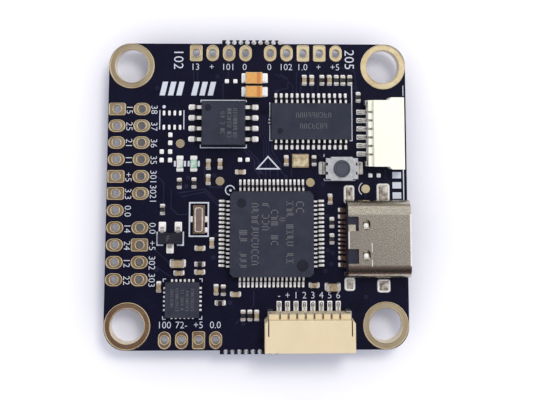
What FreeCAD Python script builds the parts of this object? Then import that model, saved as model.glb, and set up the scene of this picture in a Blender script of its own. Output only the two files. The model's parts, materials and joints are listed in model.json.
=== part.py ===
import FreeCAD, Part
import math
import os
import re
import Sketcher

# A flight controller board for a small racing drone, as it comes off the assembly line:
# the bare board with its plated holes and pads, and every component soldered to it.
# All lengths are in millimetres.
#
# The origin is the middle of the four mounting holes, on the underside of the board.
# +X points to the side with the USB port, +Y is forward (where the printed arrow points)
# and +Z is the component side.

# ---------------------------------------------------------------------------------------
# Driving dimensions. Every entry becomes a named cell of the sheet.
# ---------------------------------------------------------------------------------------
SIZES = {
    # bare board
    "board_side": 36.0,
    "board_thickness": 1.6,
    "corner_radius": 2.6,
    "hole_spacing": 30.5,
    "hole_radius": 2.0,
    "hole_ring_radius": 2.72,
    "plating": 0.05,
    # what is left of the tabs that held the board in its panel
    "stub_left": -4.35,
    "stub_width": 7.2,
    "stub_proud": 0.45,
    "bite_radius": 0.3,
    "bite_pitch": 0.8,
    "bite_offset": 0.2,
    "bite_lead": 0.68,
    # plated pads for wires
    "wire_pitch": 2.0,
    "wire_pad_length": 2.0,
    "wire_pad_width": 1.48,
    "wire_hole_radius": 0.47,
    "outer_column_x": -16.92,
    "inner_column_x": -13.95,
    "column_first_y": 10.05,
    "top_row_y": 16.85,
    "top_row_first_x": -7.5,
    "bottom_row_y": -16.85,
    "bottom_row_first_x": -10.85,
    "test_pad_radius": 0.52,
    # moulded chips: where they sit, and their packages
    "processor_x": 1.70,
    "processor_y": -4.57,
    "processor_side": 10.0,
    "processor_height": 1.4,
    "processor_span": 12.0,
    "processor_pitch": 0.5,
    "processor_lead_width": 0.22,
    "processor_corner": 0.45,
    "dimple_depth": 0.08,
    "processor_dimple_reach": 3.6,
    "first_pin_dimple_radius": 0.55,
    "ejector_dimple_radius": 0.7,
    "overlay_x": 6.42,
    "overlay_y": 8.64,
    "overlay_length": 9.7,
    "overlay_width": 4.4,
    "overlay_height": 1.0,
    "overlay_span": 6.4,
    "overlay_pitch": 0.65,
    "overlay_lead_width": 0.24,
    "overlay_dimple_radius": 0.36,
    "overlay_dimple_x": -1.15,
    "overlay_dimple_y": 3.75,
    "memory_x": -4.12,
    "memory_y": 8.40,
    "memory_side": 5.28,
    "memory_height": 1.85,
    "memory_span": 7.9,
    "memory_pitch": 1.27,
    "memory_lead_width": 0.42,
    "memory_dimple_radius": 0.4,
    "memory_dimple_reach": 1.85,
    "chip_standoff": 0.1,
    "chip_taper": 8.0,
    "fine_lead_thickness": 0.14,
    "coarse_lead_thickness": 0.2,
    "sensor_x": -8.80,
    "sensor_y": -12.15,
    "sensor_side": 4.0,
    "sensor_height": 0.9,
    "sensor_pitch": 0.5,
    "sensor_terminal_length": 0.4,
    "sensor_terminal_width": 0.24,
    "sensor_terminal_height": 0.2,
    "sensor_dimple_radius": 0.22,
    "sensor_dimple_reach": 1.45,
    # timing parts
    "resonator_x": -6.95,
    "resonator_y": -2.95,
    "resonator_length": 3.3,
    "resonator_width": 1.4,
    "resonator_base_height": 0.35,
    "resonator_cover_length": 2.96,
    "resonator_cover_width": 1.06,
    "resonator_cover_height": 0.6,
    "resonator_cover_corner": 0.25,
    "resonator_cover_bend": 0.13,
    "resonator_cover_wall": 0.1,
    "crystal_x": 5.15,
    "crystal_y": 3.95,
    "crystal_length": 2.0,
    "crystal_width": 1.6,
    "crystal_base_height": 0.4,
    "crystal_lid_height": 0.1,
    "lid_inset": 0.12,
    # moulded capacitors, lamps, transistor
    "tantalum_length": 2.05,
    "tantalum_width": 1.4,
    "tantalum_height": 1.2,
    "tantalum_strap_width": 0.9,
    "tantalum_strap": 0.1,
    "tantalum_foot": 0.5,
    "lamp_length": 1.6,
    "lamp_width": 0.8,
    "lamp_base_height": 0.24,
    "lamp_lens_length": 1.0,
    "lamp_lens_height": 0.36,
    "lamp_terminal_length": 0.28,
    "transistor_x": -10.34,
    "transistor_y": -5.08,
    "transistor_length": 2.9,
    "transistor_width": 1.3,
    "transistor_height": 0.95,
    "transistor_span": 2.5,
    "transistor_pitch": 1.9,
    "transistor_lead_width": 0.42,
    # small chip parts
    "small_length": 1.0,
    "small_width": 0.5,
    "small_height": 0.5,
    "small_terminal": 0.25,
    "medium_length": 1.6,
    "medium_width": 0.8,
    "medium_height": 0.8,
    "medium_terminal": 0.35,
    "terminal_proud": 0.02,
    "edge_round": 0.05,
    "resistor_height": 0.32,
    "resistor_coat": 0.03,
    # push button
    "button_x": 10.03,
    "button_y": 3.06,
    "button_length": 3.7,
    "button_width": 2.45,
    "button_base_height": 1.3,
    "button_floor": 0.6,
    "button_cavity_radius": 1.2,
    "button_cover_length": 3.84,
    "button_cover_thickness": 0.15,
    "button_notch_depth": 0.26,
    "button_notch_width": 0.36,
    "button_notch_offset": 0.53,
    "button_flap_width": 2.6,
    "button_flap_drop": 0.9,
    "plunger_radius": 0.95,
    "plunger_groove_radius": 0.74,
    "plunger_groove": 0.05,
    "plunger_clearance": 0.06,
    "plunger_flange_radius": 1.1,
    "plunger_flange_height": 0.26,
    "plunger_top": 2.0,
    "button_travel": 0.25,
    "dome_radius": 1.1,
    "dome_sheet": 0.05,
    "button_gap": 0.02,
    "button_foot_reach": 2.65,
    "button_foot_width": 1.4,
    "button_foot_level": 0.45,
    # USB port
    "usb_rear_x": 10.55,
    "usb_y": -5.06,
    "usb_length": 7.35,
    "usb_width": 8.94,
    "usb_height": 3.16,
    "usb_wall": 0.3,
    "usb_back_length": 1.7,
    "usb_tongue_width": 6.69,
    "usb_tongue_thickness": 0.7,
    "usb_tongue_setback": 0.5,
    "usb_contact_height": 0.05,
    "usb_contact_width": 0.25,
    "usb_contact_pitch": 0.5,
    "usb_contact_length": 3.6,
    "usb_leg_spacing": 4.18,
    "usb_leg_rear": 0.5,
    "usb_leg_length": 1.1,
    "usb_leg_below": 0.25,
    "usb_slot_gap": 0.15,
    "usb_notch_length": 1.2,
    "usb_notch_width": 1.66,
    "usb_notch_offset": 1.85,
    "usb_spring_hole_x": 2.12,
    "usb_spring_hole_offset": 1.72,
    "usb_spring_hole_length": 1.2,
    "usb_spring_hole_width": 0.88,
    "usb_tail_reach": 0.75,
    "usb_tail_rise": 0.6,
    "usb_tail_width": 0.3,
    "usb_wide_tail_width": 0.54,
    # wire connectors with their contacts 1 mm apart
    "plug_pitch": 1.0,
    "plug_side_room": 2.8,
    "plug_length": 4.2,
    "plug_height": 2.95,
    "plug_shelf": 0.55,
    "plug_shelf_height": 2.2,
    "plug_ear": 0.33,
    "esc_ear_start": 0.6,
    "video_ear_start": 2.4,
    "plug_cavity_side_room": 1.5,
    "plug_cavity_depth": 3.0,
    "plug_cavity_floor": 0.5,
    "plug_cavity_height": 1.95,
    "plug_contact_width": 0.22,
    "plug_contact_sheet": 0.18,
    "plug_contact_level": 1.1,
    "plug_contact_reach": 3.4,
    "plug_foot_reach": 0.88,
    "plug_anchor_sheet": 0.15,
    "plug_anchor_length": 2.35,
    "plug_anchor_height": 1.6,
    "plug_anchor_return": 0.6,
    "plug_anchor_gap": 0.12,
    "esc_x": 6.10,
    "esc_rear_y": -13.58,
    "video_rear_x": 13.13,
    "video_y": 7.25,
    # power supply parts under the board
    "coil_x": 7.6,
    "coil_y": 8.6,
    "coil_side": 4.0,
    "coil_height": 1.8,
    "coil_terminal": 0.9,
    "coil_terminal_width": 3.4,
    "coil_terminal_height": 0.12,
    "regulator_x": 1.6,
    "regulator_y": 8.6,
    "logic_regulator_x": -7.6,
    "logic_regulator_y": -4.6,
    "regulator_length": 2.9,
    "regulator_width": 1.6,
    "regulator_height": 1.0,
    "regulator_span": 2.8,
    "regulator_pitch": 0.95,
    "regulator_lead_width": 0.38,
}

# Wire pads, counted from the first pad of each row; square pads mark pin one of a group.
OUTER_COLUMN = range(11)
OUTER_SQUARES = (0, 4, 5)
INNER_COLUMN = (0, 1, 2, 3, 4, 5, 7, 8, 9, 10)
INNER_SQUARES = (8,)
TOP_ROW = (0, 1, 2, 3, 4.5, 5.5, 6.5, 7.5, 8.5)
TOP_SQUARES = (0, 6.5, 7.5)
BOTTOM_ROW = range(4)
BOTTOM_SQUARES = (2,)

# USB solder tails, as distances from the port's middle line; the outer ones are two side by side.
USB_TAILS = (0.25, 0.75, 1.25, 1.75)
USB_WIDE_TAILS = (2.4, 3.2)

# Places of the loose parts: x, y and the turn in degrees of the long side from +X.
TEST_PADS = [(-9.3, 5.95, 0), (-4.5, 1.5, 0), (6.35, 1.35, 0), (13.0, 0.6, 0)]
TANTALUMS = [(-0.47, 13.83, 0), (-0.47, 12.18, 0)]
LAMPS = [(-9.3, 3.58, 90), (-7.65, 3.58, 90)]
SMALL_CAPACITORS = [
    (5.65, 13.6, 90), (6.55, 13.6, 90), (8.7, 13.6, 90), (3.45, 3.95, 90), (-5.9, 3.5, 90),
    (-5.9, 1.7, 90), (-4.5, 3.55, 90), (-2.05, 2.6, 0), (8.7, -0.6, 90), (-9.25, -9.15, 0),
    (-11.6, -10.75, 90), (-4.85, -11.1, 90), (-2.55, -11.6, 0), (-0.05, -14.05, 90),
    (-5.4, -5.7, 90), (-6.8, -6.3, 0), (6.75, -10.6, 0), (-6.8, -9.05, 0),
]
RESISTORS = [
    (7.8, 13.6, 90), (9.55, 13.6, 90), (10.35, 13.6, 90), (11.2, 13.6, 90), (12.2, 11.55, 90),
    (6.8, 3.95, 90), (-9.35, 1.25, 90), (-7.6, 1.3, 90), (-11.3, -1.8, 90), (8.9, -3.35, 90),
    (8.9, -5.25, 90), (-4.0, -11.15, 90), (-4.35, -12.6, 0), (-1.65, -14.05, 90),
    (-0.85, -14.05, 90), (-6.8, -8.15, 0),
]
MEDIUM_CAPACITORS = [(-9.4, -8.05, 0), (8.95, -10.8, 0)]
POWER_CAPACITORS = [(11.5, 8.6, 90), (4.2, 8.6, 90), (-1.2, 8.6, 90), (-10.8, -4.6, 90)]

doc = FreeCAD.newDocument("FlightController")
sheet = doc.addObject("Spreadsheet::Sheet", "Sizes")
for row, (alias, number) in enumerate(SIZES.items(), start=1):
    sheet.set("A%d" % row, alias)
    sheet.set("B%d" % row, str(number))
    sheet.setAlias("B%d" % row, alias)
doc.recompute()

nodes = []


# ---------------------------------------------------------------------------------------
# Small helpers. Sizes are given as formulas over the names in the sheet.
# ---------------------------------------------------------------------------------------
def bind(formula):
    """Turn a formula over sheet names into one that an object of the document can follow."""
    return re.sub(r"[a-z_]{3,}", lambda word: "Sizes." + word.group(), str(formula))


def value(formula):
    """The present value of a formula."""
    return float(sheet.evalExpression(bind(formula)))


def place(thing, x, y, z, turn=0, upside_down=False):
    """Give an object its place on the board, bound to the sheet."""
    rotation = FreeCAD.Rotation(FreeCAD.Vector(0, 0, 1), turn)
    if upside_down:
        rotation = rotation.multiply(FreeCAD.Rotation(FreeCAD.Vector(1, 0, 0), 180))
    thing.Placement = FreeCAD.Placement(FreeCAD.Vector(value(x), value(y), value(z)), rotation)
    for axis, formula in zip("xyz", (x, y, z)):
        thing.setExpression("Placement.Base." + axis, bind(formula))


def new_body(name, x=0, y=0, z="board_thickness", turn=0, upside_down=False, is_node=True):
    """Start a piece. Its own zero height is the face of the board that it stands on."""
    piece = doc.addObject("PartDesign::Body", name)
    piece.Label = name
    place(piece, x, y, z, turn, upside_down)
    if is_node:
        nodes.append(piece)
    return piece


def origin_feature(piece, role):
    return [part for part in piece.Origin.OriginFeatures if part.Role == role][0]


def new_sketch(piece, plane="XY_Plane", offset=0):
    """A sketch on one of the piece's own planes, moved along the plane's normal."""
    drawing = piece.newObject("Sketcher::SketchObject", piece.Name + "_sketch")
    drawing.AttachmentSupport = [(origin_feature(piece, plane), "")]
    drawing.MapMode = "FlatFace"
    drawing.setExpression("AttachmentOffset.Base.z", bind(offset))
    return drawing


def bound_constraint(drawing, kind, targets, formula):
    """Add a dimension that follows the sheet."""
    drawing.addConstraint(Sketcher.Constraint(kind, *targets, value(formula)))
    drawing.setExpression("Constraints[%d]" % (drawing.ConstraintCount - 1), bind(formula))


def pin(drawing, shape, point, x, y):
    """Hold a point of the sketch at a place."""
    bound_constraint(drawing, "DistanceX", (-1, 1, shape, point), x)
    bound_constraint(drawing, "DistanceY", (-1, 1, shape, point), y)


def outline(drawing, corners):
    """A closed outline with straight sides through the corners."""
    first = drawing.GeometryCount
    count = len(corners)
    points = [FreeCAD.Vector(value(x), value(y)) for x, y in corners]
    for index in range(count):
        side = Part.LineSegment(points[index], points[(index + 1) % count])
        drawing.addGeometry(side, False)
    for index in range(count):
        following = first + (index + 1) % count
        drawing.addConstraint(Sketcher.Constraint("Coincident", first + index, 2, following, 1))
    for index, (x, y) in enumerate(corners):
        pin(drawing, first + index, 1, x, y)


def block(drawing, x, y, width, height):
    """A rectangle around a middle point."""
    left, right = "%s - (%s) / 2" % (x, width), "%s + (%s) / 2" % (x, width)
    low, high = "%s - (%s) / 2" % (y, height), "%s + (%s) / 2" % (y, height)
    outline(drawing, [(left, low), (right, low), (right, high), (left, high)])


def circle(drawing, x, y, radius):
    centre = FreeCAD.Vector(value(x), value(y))
    shape = drawing.addGeometry(Part.Circle(centre, FreeCAD.Vector(0, 0, 1), value(radius)), False)
    pin(drawing, shape, 3, x, y)
    bound_constraint(drawing, "Radius", (shape,), radius)


def stadium(drawing, x, y, length, width, upright=False):
    """A long hole or bar with round ends, along the sketch's first axis or its second."""
    half = value("(%s - (%s)) / 2" % (length, width))
    radius = value("(%s) / 2" % width)
    middle = FreeCAD.Vector(value(x), value(y))
    along = FreeCAD.Vector(0, half) if upright else FreeCAD.Vector(half, 0)
    up = FreeCAD.Vector(-radius, 0) if upright else FreeCAD.Vector(0, radius)
    ends = [middle + along, middle - along]
    quarter = math.pi / 2
    first = drawing.GeometryCount
    axis = FreeCAD.Vector(0, 0, 1)
    for index, end in enumerate(ends):
        start_angle = quarter * (2 * index - 1 + upright)
        arc = Part.ArcOfCircle(Part.Circle(end, axis, radius), start_angle, start_angle + 2 * quarter)
        drawing.addGeometry(arc, False)
    drawing.addGeometry(Part.LineSegment(ends[0] + up, ends[1] + up), False)
    drawing.addGeometry(Part.LineSegment(ends[1] - up, ends[0] - up), False)
    joints = [(first, 2, first + 2, 1), (first + 2, 2, first + 1, 1),
              (first + 1, 2, first + 3, 1), (first + 3, 2, first, 1)]
    for joint in joints:
        drawing.addConstraint(Sketcher.Constraint("Tangent", *joint))
    drawing.addConstraint(Sketcher.Constraint("Vertical" if upright else "Horizontal", first + 2))
    bound_constraint(drawing, "Radius", (first,), "(%s) / 2" % width)
    for shape, sign in ((first, "+"), (first + 1, "-")):
        shift = " %s (%s - (%s)) / 2" % (sign, length, width)
        if upright:
            pin(drawing, shape, 3, x, y + shift)
        else:
            pin(drawing, shape, 3, x + shift, y)


def rounded_square(drawing, side, radius):
    """A square around the sketch's origin with round corners."""
    half = value(side) / 2
    bend = value(radius)
    first = drawing.GeometryCount
    quarter = math.pi / 2
    axis = FreeCAD.Vector(0, 0, 1)
    turns = [(1, 1), (-1, 1), (-1, -1), (1, -1)]
    for index, (across, along) in enumerate(turns):
        centre = FreeCAD.Vector(across * (half - bend), along * (half - bend))
        arc = Part.ArcOfCircle(Part.Circle(centre, axis, bend), quarter * index, quarter * (index + 1))
        drawing.addGeometry(arc, False)
    for index in range(4):
        start = drawing.Geometry[first + index].EndPoint
        end = drawing.Geometry[first + (index + 1) % 4].StartPoint
        drawing.addGeometry(Part.LineSegment(start, end), False)
    for index, (across, along) in enumerate(turns):
        side_line = first + 4 + index
        drawing.addConstraint(Sketcher.Constraint("Tangent", first + index, 2, side_line, 1))
        drawing.addConstraint(Sketcher.Constraint("Tangent", side_line, 2, first + (index + 1) % 4, 1))
        reach = "(%s) / 2 - (%s)" % (side, radius)
        pin(drawing, first + index, 3, "%d * (%s)" % (across, reach), "%d * (%s)" % (along, reach))
    bound_constraint(drawing, "Radius", (first,), radius)


def finish_feature(piece, feature):
    """Make a feature the piece's tip, and stop if it can't be worked out."""
    piece.Tip = feature
    doc.recompute()
    if "Invalid" in feature.State or feature.Shape.isNull():
        raise RuntimeError("%s: %s failed" % (piece.Name, feature.Name))
    return feature


def pad(piece, drawing, length, symmetric=False, reverse=False, taper=None):
    """Raise a sketch into a solid."""
    feature = piece.newObject("PartDesign::Pad", piece.Name + "_pad")
    feature.Profile = drawing
    feature.setExpression("Length", bind(length))
    feature.SideType = "Symmetric" if symmetric else "One side"
    feature.Reversed = reverse
    if taper:
        feature.setExpression("TaperAngle", bind(taper))
    return finish_feature(piece, feature)


def pocket(piece, drawing, length, symmetric=False, reverse=False):
    """Cut a sketch out of the solid, and stop if nothing was cut."""
    before = piece.Shape.Volume
    feature = piece.newObject("PartDesign::Pocket", piece.Name + "_pocket")
    feature.Profile = drawing
    feature.setExpression("Length", bind(length))
    feature.SideType = "Symmetric" if symmetric else "One side"
    feature.Reversed = reverse
    finish_feature(piece, feature)
    if piece.Shape.Volume > before - 1e-6:
        raise RuntimeError("%s: a pocket cut nothing" % piece.Name)
    return feature


def revolve(piece, drawing):
    """Turn a sketch fully around its vertical axis."""
    feature = piece.newObject("PartDesign::Revolution", piece.Name + "_revolution")
    feature.Profile = drawing
    feature.ReferenceAxis = (drawing, ["V_Axis"])
    feature.Angle = 360
    return finish_feature(piece, feature)


def round_edges(piece, radius, wanted):
    """Round the edges of the piece that a test picks."""
    base = piece.Tip
    names = ["Edge%d" % (index + 1) for index, edge in enumerate(base.Shape.Edges) if wanted(edge)]
    feature = piece.newObject("PartDesign::Fillet", piece.Name + "_fillet")
    feature.Base = (base, names)
    feature.setExpression("Radius", bind(radius))
    return finish_feature(piece, feature)


def bevel_edges(piece, size, wanted):
    """Bevel the edges of the piece that a test picks."""
    base = piece.Tip
    names = ["Edge%d" % (index + 1) for index, edge in enumerate(base.Shape.Edges) if wanted(edge)]
    feature = piece.newObject("PartDesign::Chamfer", piece.Name + "_chamfer")
    feature.Base = (base, names)
    feature.setExpression("Size", bind(size))
    return finish_feature(piece, feature)


def is_upright(edge):
    return edge.BoundBox.ZLength > 10 * max(edge.BoundBox.XLength, edge.BoundBox.YLength, 1e-4)


def is_level_at(height):
    """A test for edges that lie flat at a height."""
    level = value(height)
    return lambda edge: abs(edge.BoundBox.ZMin - level) < 1e-4 and edge.BoundBox.ZLength < 1e-4


def set_row(pattern, piece, count, pitch):
    """Make a linear pattern into a row along the piece's own Y axis."""
    pattern.Direction = (origin_feature(piece, "Y_Axis"), [""])
    pattern.Mode = "Spacing"
    pattern.setExpression("Offset", bind(pitch))
    pattern.Occurrences = count


def repeat_row(piece, features, count, pitch):
    """Repeat features in a row along the piece's own Y axis."""
    pattern = piece.newObject("PartDesign::LinearPattern", piece.Name + "_row")
    pattern.Originals = features
    set_row(pattern, piece, count, pitch)
    return finish_feature(piece, pattern)


def repeat_around(piece, features, sides, count=1, pitch=0):
    """Repeat features in a row, and the row around the piece's upright axis."""
    pattern = piece.newObject("PartDesign::MultiTransform", piece.Name + "_sides")
    pattern.Originals = features
    steps = []
    if count > 1:
        row = piece.newObject("PartDesign::LinearPattern", piece.Name + "_row")
        set_row(row, piece, count, pitch)
        steps.append(row)
    turn = piece.newObject("PartDesign::PolarPattern", piece.Name + "_turn")
    turn.Axis = (origin_feature(piece, "Z_Axis"), [""])
    turn.Angle = 360
    turn.Occurrences = sides
    steps.append(turn)
    pattern.Transformations = steps
    return finish_feature(piece, pattern)


def copies(name, placed_masters, z="board_thickness", upside_down=False):
    """One node made of copies of master pieces, each at its own place."""
    links = []
    for master, x, y, turn in placed_masters:
        link = doc.addObject("App::Link", "%s_copy" % name)
        link.LinkedObject = master
        place(link, x, y, z, turn, upside_down)
        links.append(link)
    group = doc.addObject("Part::Compound", name)
    group.Label = name
    group.Links = links
    nodes.append(group)
    doc.recompute()
    return group


# ---------------------------------------------------------------------------------------
# Bare board, plated holes and pads
# ---------------------------------------------------------------------------------------
def row_places(indices, squares, oval, square, x, y, turn):
    """Pads of one row: x and y are formulas with a %s for the pad's number."""
    placed = []
    for index in indices:
        master = square if index in squares else oval
        placed.append((master, x.replace("%s", str(index)), y.replace("%s", str(index)), turn))
    return placed


ROWS = {
    "left_outer_wire_pads": (OUTER_COLUMN, OUTER_SQUARES, "outer_column_x",
                             "column_first_y - wire_pitch * %s", 0),
    "left_inner_wire_pads": (INNER_COLUMN, INNER_SQUARES, "inner_column_x",
                             "column_first_y - wire_pitch * %s", 0),
    "top_wire_pads": (TOP_ROW, TOP_SQUARES, "top_row_first_x + wire_pitch * %s", "top_row_y", 90),
    "bottom_wire_pads": (BOTTOM_ROW, BOTTOM_SQUARES, "bottom_row_first_x + wire_pitch * %s",
                         "bottom_row_y", 90),
}


def leg_slot_places():
    """Middles of the four board slots that take the USB shell's legs."""
    places = []
    for step in (0, 1):
        for side in ("+", "-"):
            x = "usb_rear_x + usb_leg_rear + usb_leg_spacing * %d" % step
            places.append((x, "usb_y %s (usb_width - usb_wall) / 2" % side))
    return places


def make_circuit_board():
    board = new_body("circuit_board", z=0)
    drawing = new_sketch(board)
    rounded_square(drawing, "board_side", "corner_radius")
    pad(board, drawing, "board_thickness")
    stubs = new_sketch(board)
    for side in ("", "-"):
        middle = "%s(board_side / 2 + (stub_proud - bite_offset) / 2)" % side
        block(stubs, "stub_left + stub_width / 2", middle, "stub_width", "stub_proud + bite_offset")
    pad(board, stubs, "board_thickness")
    # the drill that loosened the tabs left a row of half-round bites
    bites = new_sketch(board)
    bite_count = int(value("stub_width / bite_pitch")) - 1
    for side in ("", "-"):
        for index in range(bite_count + 1):
            circle(bites, "stub_left + bite_lead + bite_pitch * %d" % index,
                   "%s(board_side / 2 + bite_offset)" % side, "bite_radius")
    pocket(board, bites, "board_thickness", reverse=True)
    holes = new_sketch(board)
    for across in ("", "-"):
        for along in ("", "-"):
            circle(holes, across + "hole_spacing / 2", along + "hole_spacing / 2",
                   "hole_radius + plating")
    for indices, squares, x, y, turn in ROWS.values():
        for index in indices:
            circle(holes, x.replace("%s", str(index)), y.replace("%s", str(index)),
                   "wire_hole_radius + plating")
    for x, y in leg_slot_places():
        block(holes, x, y, "usb_leg_length + 2 * usb_slot_gap", "usb_wall + 2 * usb_slot_gap")
    pocket(board, holes, "board_thickness", reverse=True)


def make_hole_plating():
    """A copper tube with a flat ring at each end, made once and used in all four holes."""
    tube = new_body("hole_plating_master", z=0, is_node=False)
    drawing = new_sketch(tube, "XZ_Plane")
    outline(drawing, [
        ("hole_radius", "-plating"),
        ("hole_ring_radius", "-plating"),
        ("hole_ring_radius", "0"),
        ("hole_radius + plating", "0"),
        ("hole_radius + plating", "board_thickness"),
        ("hole_ring_radius", "board_thickness"),
        ("hole_ring_radius", "board_thickness + plating"),
        ("hole_radius", "board_thickness + plating"),
    ])
    revolve(tube, drawing)
    corners = [(tube, across + "hole_spacing / 2", along + "hole_spacing / 2", 0)
               for across in ("", "-") for along in ("", "-")]
    copies("mounting_hole_plating", corners, z=0)


def make_wire_pad(name, is_square):
    """A plated hole between two long lands."""
    piece = new_body(name, z=0, is_node=False)
    for level in ("-plating", "board_thickness"):
        land = new_sketch(piece, offset=level)
        if is_square:
            block(land, "0", "0", "wire_pad_length", "wire_pad_width")
        else:
            stadium(land, "0", "0", "wire_pad_length", "wire_pad_width")
        circle(land, "0", "0", "wire_hole_radius")
        pad(piece, land, "plating")
    barrel = new_sketch(piece)
    circle(barrel, "0", "0", "wire_hole_radius + plating")
    circle(barrel, "0", "0", "wire_hole_radius")
    pad(piece, barrel, "board_thickness")
    top = is_level_at("board_thickness + plating")
    if is_square:
        short = value("wire_pad_width") / 3
        round_edges(piece, "wire_pad_width / 6", lambda edge: is_upright(edge) and
                    edge.BoundBox.XMin > short or is_upright(edge) and edge.BoundBox.XMax < -short)
    round_edges(piece, "plating * 0.8", top)
    return piece


def make_wire_pads():
    oval = make_wire_pad("oval_pad_master", False)
    square = make_wire_pad("square_pad_master", True)
    for name, (indices, squares, x, y, turn) in ROWS.items():
        copies(name, row_places(indices, squares, oval, square, x, y, turn), z=0)


def make_test_pads():
    disc = new_body("test_pad_master", is_node=False)
    drawing = new_sketch(disc)
    circle(drawing, "0", "0", "test_pad_radius")
    pad(disc, drawing, "plating")
    round_edges(disc, "plating * 0.6", is_level_at("plating"))
    copies("test_pads", [(disc, *spot) for spot in TEST_PADS])


# ---------------------------------------------------------------------------------------
# Moulded chips with bent leads
# ---------------------------------------------------------------------------------------
def moulded_block(piece, length, width, height, corner=None, taper="chip_taper", standoff="chip_standoff"):
    """A plastic package that narrows up and down from its parting line."""
    middle = "%s + (%s) / 2" % (standoff, height)
    for reverse in (False, True):
        drawing = new_sketch(piece, offset=middle)
        if corner:
            half_length, half_width = "(%s) / 2" % length, "(%s) / 2" % width
            cut_length = "(%s - (%s))" % (half_length, corner)
            cut_width = "(%s - (%s))" % (half_width, corner)
            outline(drawing, [
                (cut_length, half_width), ("-" + cut_length, half_width),
                ("-(%s)" % half_length, cut_width), ("-(%s)" % half_length, "-" + cut_width),
                ("-" + cut_length, "-(%s)" % half_width), (cut_length, "-(%s)" % half_width),
                (half_length, "-" + cut_width), (half_length, cut_width),
            ])
        else:
            block(drawing, "0", "0", length, width)
        pad(piece, drawing, "(%s) / 2" % height, reverse=reverse, taper="-" + taper)


def bent_lead(piece, root, tip, level, sheet_thickness, width, along=0, side=1):
    """One gull-wing lead, from the package's parting line down to a flat foot."""
    drawing = new_sketch(piece, "XZ_Plane", offset="-(%s)" % along)
    reach = "((%s) - (%s))" % (tip, root)
    shoulder = "%s + %s * 0.3" % (root, reach)
    ankle = "%s - %s * 0.42" % (tip, reach)
    half = "(%s) / 2" % sheet_thickness
    corners = [
        (root, "%s - %s" % (level, half)),
        ("%s - %s" % (shoulder, half), "%s - %s" % (level, half)),
        ("%s - %s" % (ankle, half), "0"),
        (tip, "0"),
        (tip, sheet_thickness),
        ("%s + %s" % (ankle, half), sheet_thickness),
        ("%s + %s" % (shoulder, half), "%s + %s" % (level, half)),
        (root, "%s + %s" % (level, half)),
    ]
    outline(drawing, [("%d * (%s)" % (side, across), up) for across, up in corners])
    return pad(piece, drawing, width, symmetric=True)


def dimple(piece, x, y, radius, top):
    """A shallow round mark in the top face."""
    drawing = new_sketch(piece, offset=top)
    circle(drawing, x, y, radius)
    pocket(piece, drawing, "dimple_depth")


def make_processor():
    where = {"x": "processor_x", "y": "processor_y"}
    shell = new_body("processor_body", **where)
    moulded_block(shell, "processor_side", "processor_side", "processor_height", "processor_corner")
    top = "chip_standoff + processor_height"
    dimple(shell, "-processor_dimple_reach", "processor_dimple_reach", "first_pin_dimple_radius", top)
    dimple(shell, "processor_dimple_reach", "-processor_dimple_reach", "ejector_dimple_radius", top)
    leads = new_body("processor_leads", **where)
    lead = bent_lead(leads, "processor_side / 2", "processor_span / 2",
                     "chip_standoff + processor_height / 2", "fine_lead_thickness",
                     "processor_lead_width", along="processor_pitch * -7.5")
    repeat_around(leads, [lead], 4, 16, "processor_pitch")


def make_overlay_chip():
    where = {"x": "overlay_x", "y": "overlay_y", "turn": 90}
    shell = new_body("overlay_chip_body", **where)
    moulded_block(shell, "overlay_width", "overlay_length", "overlay_height")
    dimple(shell, "overlay_dimple_x", "overlay_dimple_y", "overlay_dimple_radius",
           "chip_standoff + overlay_height")
    leads = new_body("overlay_chip_leads", **where)
    lead = bent_lead(leads, "overlay_width / 2", "overlay_span / 2",
                     "chip_standoff + overlay_height / 2", "fine_lead_thickness",
                     "overlay_lead_width", along="overlay_pitch * -6.5")
    repeat_around(leads, [lead], 2, 14, "overlay_pitch")


def make_memory_chip():
    where = {"x": "memory_x", "y": "memory_y"}
    shell = new_body("memory_chip_body", **where)
    moulded_block(shell, "memory_side", "memory_side", "memory_height")
    dimple(shell, "-memory_dimple_reach", "memory_dimple_reach", "memory_dimple_radius",
           "chip_standoff + memory_height")
    leads = new_body("memory_chip_leads", **where)
    lead = bent_lead(leads, "memory_side / 2", "memory_span / 2",
                     "chip_standoff + memory_height / 2", "coarse_lead_thickness",
                     "memory_lead_width", along="memory_pitch * -1.5")
    repeat_around(leads, [lead], 2, 4, "memory_pitch")


def make_motion_sensor():
    """A leadless package: its terminals are under the edge of the moulding."""
    where = {"x": "sensor_x", "y": "sensor_y"}
    shell = new_body("motion_sensor_body", **where)
    core = new_sketch(shell)
    inner = "sensor_side - 2 * sensor_terminal_length"
    block(core, "0", "0", inner, inner)
    pad(shell, core, "sensor_terminal_height")
    upper = new_sketch(shell, offset="sensor_terminal_height")
    block(upper, "0", "0", "sensor_side", "sensor_side")
    pad(shell, upper, "sensor_height - sensor_terminal_height")
    dimple(shell, "-sensor_dimple_reach", "-sensor_dimple_reach", "sensor_dimple_radius", "sensor_height")
    terminals = new_body("motion_sensor_terminals", **where)
    drawing = new_sketch(terminals)
    block(drawing, "(sensor_side - sensor_terminal_length) / 2", "-2.5 * sensor_pitch",
          "sensor_terminal_length", "sensor_terminal_width")
    terminal = pad(terminals, drawing, "sensor_terminal_height")
    repeat_around(terminals, [terminal], 4, 6, "sensor_pitch")


def make_transistor():
    where = {"x": "transistor_x", "y": "transistor_y", "turn": 90}
    shell = new_body("transistor_body", **where)
    moulded_block(shell, "transistor_width", "transistor_length", "transistor_height")
    leads = new_body("transistor_leads", **where)
    level = "chip_standoff + transistor_height / 2"
    pair = bent_lead(leads, "transistor_width / 2", "transistor_span / 2", level,
                     "fine_lead_thickness", "transistor_lead_width", along="transistor_pitch / -2")
    repeat_row(leads, [pair], 2, "transistor_pitch")
    bent_lead(leads, "transistor_width / 2", "transistor_span / 2", level,
              "fine_lead_thickness", "transistor_lead_width", side=-1)


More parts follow.
